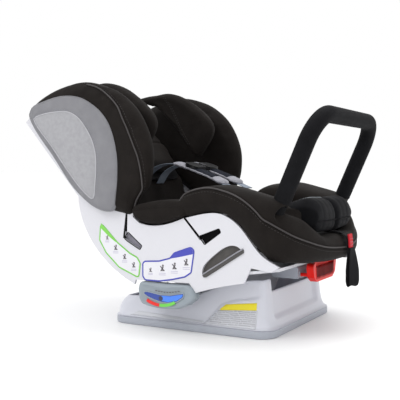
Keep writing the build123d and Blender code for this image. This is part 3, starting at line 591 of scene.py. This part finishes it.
CUSHION = [(-386, 497), (-353, 508), (-320, 516), (-290, 520), (-258, 519), (-230, 513), (-200, 499),
           (-174, 480), (-152, 453), (-138, 420), (-130, 385), (-128, 349), (-132, 300), (-142, 260),
           (-160, 256), (-190, 262), (-228, 284), (-264, 313), (-325, 382), (-382, 452), (-394, 478)]
WELT = [(-374, 468), (-347, 477), (-311, 481), (-271, 480), (-242, 468), (-215, 441), (-198, 415),
        (-189, 388), (-187, 360), (-190, 316), (-196, 286), (-222, 300), (-266, 342), (-320, 402),
        (-366, 452)]
CUSHION_CENTRE = (-260, 400)
CUSHION_FACE = 246

# The first of the cushion's rings that belongs to the raised panel inside the welt.
PANEL_RING = 11


def side_cushion(word, side):
    outline = rounded(curve(CUSHION, 90, True), 8, 180)
    inner = match(curve(WELT, 200, True), CUSHION_CENTRE, outline)
    for line in (outline, inner):
        line[:, 0] -= 9 * np.clip((line[:, 0] + 330) / 130, 0, 1)
    rings = [(30, 0, 226), (9, 0, 226), (6, 0, 229), (3, 0, 233), (1, 0, 238), (4, 0, 242.5), (9, 0, 245),
             (16, 0.05, 246), (9, 0.5, 247.5), (6, 0.8, 247.5), (0, 0.95, 246), (0, 1.0, 245.2),
             (0, 1.04, 246.4), (0, 1.12, 248.5), (0, 1.3, 251.0), (0, 1.55, 252.8), (0, 1.8, 253.6),
             (0, 1.96, 253.9)]
    piece = pad("side_cushion_" + word + "_fabric", outline, rings, side, "grey_border", CUSHION_CENTRE,
                inner)
    piece.data.materials.append(mats["grey_cover"])
    for face in piece.data.polygons:
        if face.index >= len(outline) * PANEL_RING and abs(face.center.y) > 0.2451:
            face.material_index = 1
    welt = on_surface(piece, at_y(inner, CUSHION_FACE * side), 0.3)
    put(piece, "shell", ["side_cushion_" + word])
    put(tube("cushion_welt_" + word, welt[::2], 1.2, "welt", closed=True), "shell")
    row = [(p + (q - p) * 0.9) for p, q in zip(outline, inner)]
    row = on_surface(piece, at_y(row[::2], CUSHION_FACE * side))
    put(stitches("cushion_stitches_" + word, np.vstack([row, row[:1]]), "trim", radius=0.4), "shell")
    edge = outline + (np.array(CUSHION_CENTRE) - outline) * 0.03
    rim = on_surface(piece, at_y(edge, (CUSHION_FACE - 2) * side), 0.1)
    put(tube("cushion_edge_" + word, rim[::2], 0.9, "grey_border", closed=True), "shell")


# ---- arm pads

ARM = [(-108, 250), (-98, 241), (-78, 235), (-58, 233), (-38, 235), (-18, 240), (4, 247), (22, 254),
       (28, 262), (28, 274), (22, 282), (4, 286), (-20, 286), (-50, 283), (-80, 278), (-102, 272),
       (-112, 264)]

ARM_FACE = 236


def arm_pad(word, side):
    outline = curve(ARM, 110, True)
    rings = [(24, 0, 203), (8, 0, 201), (3, 0, 204), (0, 0, 210), (0, 0, 226), (3, 0, 232), (8, 0, 235),
             (20, 0, 236)]
    piece = pad("arm_pad_" + word + "_fabric", outline, rings, side, "black_cover", (-40, 260))
    puff(piece, 3.0, 3.0, 4.0)
    put(piece, "shell", ["arm_pad_" + word])
    seam = curve(at_y([(-104, 262), (-60, 268), (-20, 272), (24, 270)], ARM_FACE * side), 60)
    seam = on_surface(piece, seam, 0.1)
    put(tube("arm_pad_seam_" + word, seam, 0.8, "black_cover"), "shell")


# ---- thigh bolsters and front nose, one wrapped pad

STRAIGHT = [((9, 252), (10, 284), (11, 290)), ((20, 253), (20, 296), (24, 303)),
            ((36, 255), (36, 304), (42, 310)), ((60, 261), (66, 311), (72, 314)),
            ((84, 264), (86, 311.5), (94, 316)), ((103, 263), (104, 308), (114, 315)),
            ((126, 254), (124, 303), (138, 310)), ((149, 237), (148, 293), (164, 303)),
            ((168, 214), (166, 282), (190, 296)), ((186, 194), (184, 268), (214, 288)),
            ((202, 179), (200, 252), (234, 276))]
# Each front station: its outermost place in plan, its direction outwards, the heights of hem, piping and top,
# and how far it belongs to the nose.
FRONT = [((214, -225), (0.42, -0.91), 168, 243, 270, 0), ((232, -211), (0.60, -0.80), 164, 230, 266, 0),
         ((252, -189), (0.76, -0.65), 161, 215, 258, 0), ((270, -155), (0.87, -0.49), 158, 202, 247, 0.2),
         ((281, -124), (0.94, -0.34), 157, 193, 228, 0.7), ((289, -92), (0.97, -0.24), 156, 187, 212, 1),
         ((296, -45), (0.99, -0.12), 155, 183, 211, 1), ((298, 0), (1, 0), 155, 181, 211, 1)]


def wrap_stations():
    """Rings of eight points each, from the near rear end round the front to its middle."""
    stations = []
    for (xb, zb), (xp, zp), (xt, zt) in STRAIGHT:
        stations.append([(xb, -226, zb), ((xb + xp) / 2, -235, (zb + zp) / 2), (xp, -231, zp),
                         (xt, -212, zt), (xt, -168, zt), (xt - 3, -134, zt - 12), (xb + 8, -126, zb + 8),
                         (xb + 3, -178, zb + 1)])
    for place, out, zb, zp, zt, share in FRONT:
        place, out = np.array(place, float), np.array(out, float)
        inner = np.array([240, -128]) * (1 - share) + np.array([246, place[1] * 0.96]) * share

        def at(inset, z):
            return (*(place - out * inset), z)

        low = 30 - 12 * share
        stations.append([at(15, zb), at(0, (zb + zp) / 2 - 3), at(1, zp), at(10 + 8 * (1 - share), zt - 4),
                         at(24 + 20 * (1 - share), zt), (*inner, zt - 4), (*inner, zb + 10), at(low, zb)])
    return np.array(stations, float)


def front_wrap():
    near = wrap_stations()
    far = near[-2::-1].copy()
    far[:, :, 1] *= -1
    stations = np.concatenate([near, far])
    lines = [curve(stations[:, k], 190) for k in range(8)]
    rings = [curve([line[i] for line in lines], 44, True) for i in range(190)]
    piece = loft("front_wrap_fabric", rings, "black_cover")
    puff(piece, 2.0, 3.0, 5.0)
    line = on_surface(piece, curve(stations[:, 2] + (0, 0, 0.5), 220), 0.7)
    crease(piece, line, 9, 1.6)
    bead = tube("front_piping", curve(line[::4], 260), PIPING_RADIUS, "piping", up=(0, 0, 1))
    put(piece, "seat_pan", ["thigh_bolster_left", "thigh_bolster_right", "nose_cover"])
    put(bead, "seat_pan")
    below = on_surface(piece, curve(stations[:, 2] - (0, 0, 8), 220), 0.1)
    put(stitches("front_stitches", curve(below[::4], 300)), "seat_pan")
    return piece


# ---- quilted foot insert

INSERT_SIDE = [(124, 240), (124, 219), (160, 221), (205, 229), (236, 230), (247, 220), (262, 218),
               (272, 226), (277, 243), (276, 262), (266, 280), (246, 288), (215, 281), (185, 270),
               (155, 257)]


def foot_insert():
    section = curve(INSERT_SIDE, 60, True)
    middle = np.array([200, 243])
    rings = []
    for y in np.linspace(-114, 114, 76):
        edge = 1 - abs(y) / 115
        size = 1 - 0.5 * (1 - min(1, edge / 0.22)) ** 2.2
        lobe = math.exp(-((y - 4) / 10) ** 2)
        ring = []
        for x, z in section:
            p = middle + (np.array([x, z]) - middle) * (1, size)
            if x > 230:
                p[0] -= (lobe * 16 + 5 * (1 - min(1, edge / 0.3))) * min(1, (x - 230) / 24)
            if z > 246 and x > 180:
                p[1] -= lobe * 12 * min(1, (x - 180) / 40)
            ring.append((p[0], y, p[1]))
        rings.append(ring)
    piece = loft("foot_insert_fabric", rings, "quilted_fabric")
    puff(piece, 3.0, 4.0, 4.5)
    for y in (-86, -58, -30, 36, 62, 88):
        path = [(168, y, 260), (200, y, 274), (236, y, 286), (258, y, 284), (270, y, 270), (277, y, 246),
                (272, y, 228)]
        crease(piece, on_surface(piece, curve(path, 90)), 10, 0.7)
    welt = on_surface(piece, curve([(278, y, 240) for y in (-108, -60, -20, 4, 30, 70, 108)], 110), 0.2)
    crease(piece, welt, 7, 1.6)
    put(piece, "seat_pan", ["foot_insert"])
    put(tube("foot_insert_welt", curve(welt[::3], 110), 1.1, "quilted_fabric", up=(0, 0, 1)), "seat_pan")
    tag = curve(on_surface(piece, [(204, -36, 277), (222, -22, 282), (240, -12, 282)], 1.6), 24)
    put(strap("foot_insert_tag", tag, 18, 1.2, (0.7, -0.7, 0), "tag"), "seat_pan")


# ---- seat cushion, backrest pad, headrest

def box_pad(name, corners, across, finish, bulge, voxel=6.0, most=8.0):
    """A cushion between y -across and across with the given profile in X and Z."""
    section = rounded(corners, 14, 70)
    middle = section.mean(axis=0)
    rings = []
    for y in np.linspace(-across, across, 30):
        edge = min(1, (across - abs(y)) / 22)
        size = 1 - 0.35 * (1 - edge) ** 2
        rings.append(at_y(middle + (section - middle) * size, y))
    piece = loft(name, rings, finish)
    return puff(piece, bulge, most, voxel)


def seat_cushion():
    piece = box_pad("seat_cushion_fabric", [(-124, 205), (-40, 203), (60, 204), (114, 208), (114, 232),
                                            (60, 230), (-40, 228), (-124, 232)], 112, "black_cover", 3.0)
    put(piece, "seat_pan", ["seat_cushion"])


def backrest_pad():
    corners = [on_back(-8, 14), on_back(-8, 46), on_back(-120, 48), on_back(-238, 48), (-190, 200),
               (-206, 210), on_back(-238, 14), on_back(-120, 14)]
    piece = box_pad("backrest_pad_fabric", corners, 190, "black_cover", 3.0)
    put(piece, "shell", ["backrest_pad"])


def headrest():
    corners = [on_back(36, 82), on_back(36, 97), on_back(-80, 97), on_back(-160, 97), on_back(-236, 96),
               on_back(-236, 69), on_back(-160, 68), on_back(-80, 68)]
    piece = box_pad("headrest_pad_fabric", corners, 122, "black_cover", 4.0)
    for up in (-66, -150):
        x, z = on_back(up, 100)
        crease(piece, on_surface(piece, [(x, y, z) for y in np.linspace(-104, 104, 60)]), 8, 3)
    put(piece, "headrest", ["headrest_pad"])
    tips = [(-344, 542), (-312, 551), (-278, 554), (-244, 556), (-212, 549), (-184, 537), (-155, 518),
            (-129, 497), (-112, 478), (-104, 460), (-106, 441), (-122, 412), (-147, 384), (-178, 410),
            (-230, 468), (-290, 522)]
    outline = curve(tips, 130, True)
    rings = [(40, 0, 126), (14, 0, 124), (5, 0, 126), (0, 0, 132), (0, 0, 144), (5, 0, 150), (14, 0, 153),
             (40, 0, 153)]
    for word, side in SIDES.items():
        wing = pad("headrest_wing_" + word + "_fabric", outline, rings, side, "black_cover", (-190, 480))
        puff(wing, 4.0, 4.0, 4.5)
        put(wing, "headrest", ["headrest_wing_" + word])
        for k, shift in enumerate((0, 5)):
            seam = [(-256 + shift, 130 * side, 548), (-232 + shift, 124 * side, 520),
                    (-214 + shift, 124 * side, 488), (-196 + shift, 124 * side, 452),
                    (-172 + shift, 124 * side, 414)]
            line = on_surface(wing, curve(seam, 70), 0.1)
            put(stitches("headrest_stitches_%s_%d" % (word, k), line), "headrest")


# ---- harness

UPPER = [on_back(-250, 57.5), (-188, 342), (-156, 359), (-118, 364), (-82, 356), (-46, 343)]
LOWER = [(-44, 342.3), (-8, 329), (24, 314), (44, 306)]
PAD_LINE = [(-112, 365), (-82, 357), (-44, 344.5), (-8, 331), (20, 318)]

HARNESS_SIDE = 38
HARNESS_WIDTH = 34
WEBBING = 2
PAD_HALF_WIDTH = 25
PAD_HALF_THICKNESS = 5.4


def follow_both(piece):
    """Bakes the placement of a piece that runs from the shell to the seat pan into its points; it rides
    neither body.
    """
    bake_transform(piece)


def harness():
    for word, side in SIDES.items():
        y = HARNESS_SIDE * side
        upper = curve(at_y(UPPER, y), 60)
        piece = strap("shoulder_strap_%s_webbing" % word, upper, HARNESS_WIDTH, WEBBING, (0, 1, 0),
                      "grey_webbing")
        put(piece, "shell", ["shoulder_strap_" + word])
        lower = curve(at_y(LOWER, y), 40)
        piece = strap("harness_strap_lower_%s_webbing" % word, lower, HARNESS_WIDTH, WEBBING, (0, 1, 0),
                      "grey_webbing")
        follow_both(piece)
        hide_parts("harness_strap_lower_" + word)
        middle = curve(at_y(PAD_LINE, y), 60)
        rings, trims = [], [[], []]
        for i, p in enumerate(middle):
            t = middle[min(i + 1, 59)] - middle[max(i - 1, 0)]
            t /= np.linalg.norm(t)
            n = np.array([-t[2], 0, t[0]])
            n = n if n[2] > 0 else -n
            scallop = 1.6 * math.sin(i * 0.85)
            end = min(1, min(i, 59 - i) / 5 + 0.45)
            half, thick = (PAD_HALF_WIDTH + scallop) * end, PAD_HALF_THICKNESS * end
            ring = []
            for w in np.linspace(0, 2 * math.pi, 20, endpoint=False):
                corner = 1 if abs(math.cos(w)) > 0.6 else 1.05
                ring.append(p + np.array([0, 1, 0]) * half * math.cos(w) * corner + n * thick * math.sin(w))
            rings.append(ring)
            for k, sign in enumerate((-1, 1)):
                trims[k].append(p + np.array([0, 1, 0]) * sign * (half - 0.5))
        piece = loft("shoulder_pad_%s_fabric" % word, rings, "pad_fabric")
        edge = np.vstack([trims[0], trims[1][::-1]])
        trim = tube("shoulder_pad_trim_" + word, edge, 2.3, "trim", closed=True, up=(0, 0, 1))
        parts = [piece, trim]
        for name, ends in (("upper", rings[:17]), ("lower", rings[-12:])):
            shells = [np.mean(ring, axis=0) + (np.array(ring) - np.mean(ring,
                                                                        axis=0)) * 1.07 for ring in ends]
            parts.append(loft("shoulder_pad_%s_end_%s" % (name, word), shells, "trim"))
        for part in parts:
            follow_both(part)
        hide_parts("shoulder_pad_" + word)


# ---- lap straps, adjuster and its tail

def other_straps():
    for word, side in SIDES.items():
        path = curve([(46, 36 * side, 283), (20, 60 * side, 276), (-20, 86 * side, 262),
                      (-74, 108 * side, 248)], 30)
        piece = strap("lap_strap_" + word, path, 32, WEBBING, (0.5, 0.5 * side, 0), "grey_webbing")
        put(piece, "seat_pan", ["lap_and_crotch_straps"] if word == "right" else [])
    crotch = strap("crotch_strap", curve([(52, 0, 238), (60, 0, 246), (66, 0, 254)], 10), 40, 2.4,
                   (0, 1, 0), "black_webbing")
    put(crotch, "seat_pan")
    top = curve([(250, 0, 214.3), (266, 0, 215), (284, 0, 213.6), (296, 0, 208), (302, 0, 198),
                 (303, 0, 181)], 40)
    put(strap("adjuster_webbing", top, 26, 1.6, (0, 1, 0), "black_webbing"), "seat_pan",
        ["adjuster_strap"])
    tail = curve([(306, 0, 181), (307, 0, 150), (307.5, 0, 122), (308, 0, 104), (311, 0, 97),
                  (314.2, 0, 104), (314.6, 0, 124), (313, 0, 150), (310, 0, 180)], 70)
    turn = [(0.45 * min(1, (181 - p[2]) / 50), 0.9, 0) for p in tail]
    put(strap("adjuster_tail_webbing", tail, 31, 2.2, turn, "black_webbing"), "seat_pan",
        ["adjuster_tail"])
    tab = curve([(307, 0, 180), (306.5, 0, 194), (304.5, 0, 210)], 12)
    put(strap("adjuster_tab_fabric", tab, 24, 4.2, (0, 1, 0), "red_fabric"), "seat_pan",
        ["adjuster_tab"])
    for z in (186, 193, 200):
        row = [(309.6, y, z) for y in np.linspace(-9, 9, 12)]
        put(stitches("adjuster_tab_stitches_%d" % z, row, "trim", 2.2, 1.4, 0.4), "seat_pan")
    back = curve(at_y([on_back(up, -5) for up in (-60, -110, -176)], -150), 30)
    put(strap("tether_webbing", back, 30, 8, (0, 1, 0), "black_webbing"), "shell",
        ["tether_strap"])


# ---- shell labels, pockets and gauges

GREEN_FRAME = [(-199, 231), (-202, 192), (-184, 164), (-149, 134), (-97, 114), (-93, 146), (-101, 158),
               (-120, 166), (-153, 188)]
GREEN_BAND = [(-198, 230), (-199, 219), (-178, 202), (-158, 189), (-153, 190), (-175, 207)]
BLUE_FRAME = [(-86, 147), (-86, 118), (-80, 110.5), (-44, 110.5), (-12, 116), (20, 124), (35, 134),
              (40, 166), (42, 181), (35, 187), (22, 183), (-6, 173), (-17, 161), (-44, 153.5), (-80, 151)]
BLUE_BAND = [(-18, 160), (-6, 172), (22, 182), (34, 185.5), (40, 180), (39, 173), (8, 165.5)]


def bar(a, b, width):
    """The corners of a thin bar between two points."""
    a, b = np.array(a, float), np.array(b, float)
    aside = np.array([a[1] - b[1], b[0] - a[0]]) * width / 2 / np.linalg.norm(b - a)
    return [a + aside, a - aside, b - aside, b + aside]


def framed_label(name, corners, edge, band, side, pictures):
    """A white label with a coloured line round it, a coloured heading and a row of small plain pictures."""
    y = LABEL_FACE * side
    outer = rounded(corners, 6)
    put(plate(name + "_sheet", outer, y, y + 0.3 * side, "label", 0.05), "shell")
    line = ring_at(outer, 140, y + 0.35 * side)
    put(tube(name + "_frame", line, 1.6, edge, 6, closed=True, flat=0.25), "shell")
    put(plate(name + "_heading", band, y, y + 0.5 * side, edge, 0.05), "shell")
    for k, (x, z, size) in enumerate(pictures):
        shapes = [circle(x + 0.12 * size, z + 0.46 * size, 0.19 * size, 14),
                  bar((x - 0.42 * size, z + 0.34 * size), (x + 0.36 * size, z - 0.46 * size), 0.2 * size),
                  bar((x + 0.2 * size, z + 0.3 * size), (x - 0.2 * size, z - 0.4 * size), 0.26 * size),
                  bar((x - 0.4 * size, z - 0.5 * size), (x + 0.5 * size, z - 0.42 * size), 0.14 * size)]
        for j, shape in enumerate(shapes):
            put(plate("%s_mark_%d_%d" % (name, k, j), shape, y + 0.2 * side, y + 0.55 * side, "label_mark",
                      0.05), "shell")
        for j in range(2):
            row = bar((x - 0.7 * size, z - (0.95 + 0.3 * j) * size),
                      (x + 0.7 * size, z - (0.9 + 0.3 * j) * size), 1.2)
            put(plate("%s_row_%d_%d" % (name, k, j), row, y + 0.2 * side, y + 0.5 * side, "label_text",
                      0.05), "shell")


def shell_details():
    for word, side in SIDES.items():
        rear = [(-142, 200), (-137, 262), (-119, 262), (-121, 216), (-84, 190), (-92, 168), (-128, 188)]
        front = [(48, 206), (0, 262), (20, 262), (62, 214), (104, 236), (112, 220), (66, 186)]
        for name, corners, finish in (("rear", rear, "slot_grey"), ("front", front, "shade")):
            put(plate("belt_slot_back_%s_%s" % (name, word), rounded(corners, 3), 212.5 * side,
                      218.6 * side, finish, 0.4), "shell")
        for name, corners, mouth in (("rear", [(-136, 199), (-128, 193), (-94, 175), (-88, 184),
                                               (-125, 213)], (-128.2, 257)),
                                     ("front", [(53, 211), (67, 194), (105, 221), (101, 229)],
                                      (14.4, 253))):
            put(plate("belt_mouth_shade_%s_%s" % (name, word), bar(corners[0], mouth, 4.6), 219 * side,
                      225.2 * side,
                      "shade", 0.1), "shell")
            line = ring_at(rounded(corners, 3), 70, (SHELL_FACE - 0.3) * side)
            put(tube("belt_slot_rim_%s_%s" % (name, word), line, 1.1, "shade", 6, closed=True), "shell")
        framed_label("green_label_" + word, GREEN_FRAME, "label_green", GREEN_BAND, side,
                     [(-181, 198, 8), (-158, 177, 10), (-134, 158, 10), (-110, 141, 10)])
        framed_label("blue_label_" + word, BLUE_FRAME, "label_blue", BLUE_BAND, side,
                     [(-66, 133, 8), (-36, 139, 12), (-6, 145, 12), (23, 155, 12)])
        lip = rounded([(62, 131), (66, 126), (72, 127), (158, 182), (157, 190), (150, 187)], 2)
        put(plate("pocket_lip_" + word, lip, 224.8 * side, 227.6 * side, "pocket_lip", 0.8), "shell")
        # A raised bead along the top of the pocket lip, in the light grey trim colour, which paints the
        # highlight along the pocket's rim.
        bead = curve(at_y([(64, 132.5), (84, 145.5), (110, 161.5), (134, 177), (156, 190)], 227.2 * side),
                     30)
        put(tube("pocket_highlight_bead_" + word, bead, 1.5, "trim"), "shell")


GAUGE = [(-92, 107), (-96, 92), (-94, 70), (-87, 59), (-67, 54), (-37, 51), (4, 54), (28, 64), (50, 81),
         (40, 101), (31, 107), (-25, 106)]
GAUGE_RINGS = [(30, 0, 207), (1, 0, 207), (0, 0, 209), (0, 0, 225), (1, 0, 228.5), (3, 0, 231),
               (6, 0, 232.2), (10, 0, 232.4), (12, 0, 231.2), (20, 0.3, 230.4), (20, 0.9, 230.4)]
LIQUID = [(-79, 86), (-80, 81), (-69, 75), (-55, 70.5), (-37, 66.5), (-19, 65.5), (4, 70), (19, 80),
          (22, 90.5), (4, 87), (-13, 83.5), (-37, 82.5), (-55, 85), (-70, 87)]
LIQUID_LIGHT = [(-36, 80.5), (-35, 69.5), (-19, 68), (3, 72.5), (16.5, 81.5), (19, 87.5), (4, 84.5),
                (-13, 81)]


def sector(low, high, inner, outer, steps=20):
    """A ring sector about the gauge's centre, with angles from straight down."""
    centre = np.array([-36, 132])
    made = []
    for radius, first, last in ((inner, low, high), (outer, high, low)):
        for w in np.radians(np.linspace(first, last, steps)):
            made.append(centre + radius * np.array([math.sin(w), -math.cos(w)]))
    return made


def gauge_details():
    for word, side in SIDES.items():
        face = rounded(GAUGE, 12, 160)
        body = pad("gauge_body_" + word, face, GAUGE_RINGS, side, "gauge_plastic", (-34, 74))
        put(body, "shell", ["level_housing_" + word])
        put(plate("gauge_liquid_" + word, rounded(LIQUID, 4), 230.2 * side, 231.4 * side, "gauge_window",
                  0.4),
            "shell")
        put(plate("gauge_light_" + word, rounded(LIQUID_LIGHT, 3), 231.2 * side, 231.9 * side,
                  "gauge_glass", 0.3),
            "shell", ["level_window_" + word])
        line = ring_at(rounded(LIQUID, 5), 130, 231.2 * side)
        put(tube("gauge_rim_" + word, line, 1.4, "gauge_plastic", 6, closed=True), "shell")
        put(plate("gauge_spot_" + word, circle(-36, 74.5, 5, 20), 231.7 * side, 232.6 * side, "gauge_ball",
                  0.4), "gauge_ball_" + word)
        for name, finish, low, high in (("red", "scale_red", -29, -3), ("green", "scale_green", -2, 29)):
            put(plate("gauge_%s_%s" % (name, word), sector(low, high, 69, 75.5), 230.3 * side, 233 * side,
                      finish, 0.1), "shell")
        for k in range(9):
            x = -50 + 7 * k
            z = 88.6 + 0.004 * (x + 28) ** 2
            put(plate("gauge_mark_%s_%d" % (word, k), bar((x, z), (x + 4.6, z + 0.2), 1.8), 231.6 * side,
                      232.3 * side,
                      "label_mark", 0.05), "shell")


# ---- base and its labels

BASE_RIM = [(-230, 60), (-172, 60), (-120, 65), (0, 72), (40, 87), (66, 99), (96, 110), (150, 118),
            (230, 120)]
PANEL_CREASE = [(30, 0), (45, 18), (63, 42), (79, 61), (108, 72), (170, 83), (230, 90)]
LEDGE = 17.5


def ramp(value, low, high):
    """0 below low, 1 above high, and a smooth turn between."""
    t = min(1.0, max(0.0, (value - low) / (high - low)))
    return t * t * (3 - 2 * t)


def base_point(out, tangent, z, rim, extra=0.0):
    """A point of the tub's outside at a height, from its footprint and the direction outwards there."""
    rise = max(0.0, z - LEDGE)
    share = min(1.0, rise / max(rim - LEDGE, 1))
    rear = ramp(-out[0], 130, 185)
    cove = 5 + 9 * (1 - math.exp(-rise / 10)) + 0.10 * rise
    dome = 5 + 30 * (1 - math.sqrt(max(0.0, 1 - share**2)))
    inset = (cove * (1 - rear) + dome * rear) if rise > 0 else 0.0
    side = ramp(abs(tangent[1]), 0.9, 0.99)
    crease = np.interp(out[0], *zip(*PANEL_CREASE)) if out[0] > 30 else 0
    inset -= 3.0 * side * ramp(crease - z, -1.5, 1.5) * ramp(rise, 0, 4)
    front = ramp(tangent[0], 0.9, 0.99) * (1 - ramp(abs(out[1]), 118, 134))
    inset += 8.0 * front * ramp(z, 30, 42)
    return (*(np.array(out) - np.array(tangent) * (inset + extra)), z)


def base_tub():
    foot = rounded([(-200, -188), (200, -188), (200, 188), (-200, 188)], 44, 300)
    ahead = np.roll(foot, -1, 0) - np.roll(foot, 1, 0)
    outward = np.stack([ahead[:, 1], -ahead[:, 0]], axis=1)
    outward /= np.linalg.norm(outward, axis=1)[:, None]
    rows = []
    for z, inset in ((0, 3), (0.8, 0.8), (2.5, 0), (13, 0), (15.3, 0.8), (16, 2.4), (16.4, 4)):
        rows.append([(*(p - n * inset), z) for p, n in zip(foot, outward)])
    rims = []
    for p, n in zip(foot, outward):
        rim = np.interp(p[0], *zip(*BASE_RIM))
        notch = ramp(n[0], 0.9, 0.99) * (1 - ramp(abs(p[1]), 112, 132))
        rims.append(rim - (rim - 90) * notch)
    for t in np.linspace(0, 1, 34):
        rows.append([base_point(p, n, LEDGE + t * (rim - 3 - LEDGE), rim) for p, n,
                     rim in zip(foot, outward, rims)])
    for lift, extra in ((1.2, 0.6), (2.4, 1.6), (3, 3.0), (2.4, 4.4), (1.2, 5.4), (0, 6), (-6, 6.2)):
        rows.append([(*base_point(p, n, rim - 3, rim, extra)[:2], rim - 3 + lift) for p, n,
                     rim in zip(foot, outward, rims)])
    rows.append([(*base_point(p, n, 24, rim, 7)[:2], 8) for p, n, rim in zip(foot, outward, rims)])
    rows.append([(*base_point(p, n, 24, rim, 16)[:2], 4) for p, n, rim in zip(foot, outward, rims)])
    piece = loft("base_tub", rows, "base_plastic", sharp=38)
    piece.data.materials.append(mats["skirt_plastic"])
    for face in piece.data.polygons:
        if face.center.z < 0.0148 and abs(face.normal.z) < 0.9:
            face.material_index = 1
    return put(piece, "base", ["base_shell"])


def decal(name, target, corners, side, finish, body, lift=0.35, steps=(14, 4)):
    """A thin sticker laid on a piece's side, from four corners in X and Z."""
    tree = BVHTree.FromPolygons([v.co for v in target.data.vertices],
                                [f.vertices for f in target.data.polygons])
    a, b, c, d = (np.array(p, float) for p in corners)
    points, faces = [], []
    for i in range(steps[1] + 1):
        for j in range(steps[0] + 1):
            u, v = j / steps[0], i / steps[1]
            x, z = (a * (1 - u) + b * u) * (1 - v) + (d * (1 - u) + c * u) * v
            hit = tree.ray_cast(Vector((x / 1000, 0.4 * side, z / 1000)), Vector((0, -side, 0)))[0]
            points.append((x, hit.y * 1000 + lift * side, z))
    row = steps[0] + 1
    for i in range(steps[1]):
        for j in range(steps[0]):
            faces.append((i * row + j, i * row + j + 1, (i + 1) * row + j + 1, (i + 1) * row + j))
    under = [(p[0], p[1] - (lift - 0.05) * side, p[2]) for p in points]
    size = len(points)
    faces += [tuple(size + k for k in reversed(f)) for f in list(faces)]
    edge = [*range(0, row), *range(2 * row - 1, size, row), *range(size - 2, size - row - 1, -1),
            *range(size - 2 * row, 0, -row)]
    for k, here in enumerate(edge):
        there = edge[(k + 1) % len(edge)]
        faces.append((here, there, size + there, size + here))
    return put(mesh_object(name, points + under, faces, finish), body)


def base_details():
    tub = base_tub()
    for word, side in SIDES.items():
        decal("base_band_" + word, tub, [(73, 50), (162, 57), (162, 72.4), (90, 63.6)], side,
              "label_yellow", "base")
        decal("base_sheet_" + word, tub, [(40, 19), (164, 19), (164, 57), (72, 49)], side, "base_label",
              "base", 0.3, (24, 10))
        decal("base_sheet_rear_" + word, tub, [(-150, 20), (38, 20), (40, 24), (-130, 30)], side,
              "base_label", "base", 0.3, (30, 3))
        for k in range(8):
            z = 20.5 + k * 3.9
            start = 46 + max(0, z - 24) * 1.05
            stops = [start]
            while stops[-1] < 156:
                stops.append(stops[-1] + 9 + 7 * ((k * 5 + len(stops) * 3) % 4))
            for j, (low, high) in enumerate(zip(stops[:-1], stops[1:])):
                top = z + (low - 46) * 0.04
                decal("base_row_%s_%d_%d" % (word, k, j), tub,
                      [(low, top), (min(high - 2, 161), top + 0.3), (min(high - 2, 161), top + 1.7),
                       (low, top + 1.4)],
                      side, "label_grey", "base", 0.5, (3, 1))


# ---- recline handle

def handle_ribs():
    for k, y in enumerate(np.linspace(-60, 60, 13)):
        points = [(212.4, y, 115), (212.8, y, 118), (212.8, y, 128), (212.0, y, 131)]
        put(tube("housing_rib_%d" % k, points, 1.3, "skirt_plastic"), "shell")
    # The handle ribs take a dark red finish that paints the shade over the handle's ribbed front face; the
    # handle itself is one red.
    for k, y in enumerate(np.linspace(-52, 52, 14)):
        points = [(248.6, y, 113), (249.6, y, 120), (249.6, y, 136), (248.6, y, 142)]
        put(tube("handle_rib_%d" % k, points, 1.2, "painted_shade_red"), "handle")


for word, side in SIDES.items():
    wing_cover(word, side)
    side_cushion(word, side)
    arm_pad(word, side)
front_wrap()
foot_insert()
seat_cushion()
backrest_pad()
headrest()
harness()
other_straps()
shell_details()
gauge_details()
base_details()
handle_ribs()


# ---- floor and light

# Metres.
FLOOR_HALF = 60
FLOOR_DROP = 0.0005
floor_data = bpy.data.meshes.new("floor")
floor_data.from_pydata([(x * FLOOR_HALF, y * FLOOR_HALF, -FLOOR_DROP) for x,
                        y in ((-1, -1), (1, -1), (1, 1), (-1, 1))],
                       [], [(0, 1, 2, 3)])
floor_data.materials.append(material("floor", (0.93, 0.93, 0.93), 0.6))
floor = add("floor", floor_data)

world = bpy.data.worlds.new("studio")
world.use_nodes = True
world.node_tree.nodes["Background"].inputs["Color"].default_value = (1, 1, 1, 1)
world.node_tree.nodes["Background"].inputs["Strength"].default_value = 1.0
bpy.context.scene.world = world


def lamp(name, place, target, size, power):
    """A square area light."""
    data = bpy.data.lights.new(name, "AREA")
    data.shape = "SQUARE"
    data.size = size
    data.energy = power
    made = add(name, data)
    made.location = place
    made.rotation_euler = (Vector(target) - Vector(place)).to_track_quat("-Z", "Y").to_euler()


lamp("key", (-1.2, -2.0, 2.2), (-0.05, 0, 0.25), 1.2, 16)
lamp("top", (0.4, 0.6, 2.6), (-0.05, 0, 0.25), 1.4, 22)
sun = add("sky_light", bpy.data.lights.new("sky_light", "SUN"))
sun.data.energy = 0.35
sun.data.angle = math.radians(90)
sun.rotation_euler = (math.radians(12), math.radians(-8), 0)

bpy.context.scene.view_settings.view_transform = "Standard"
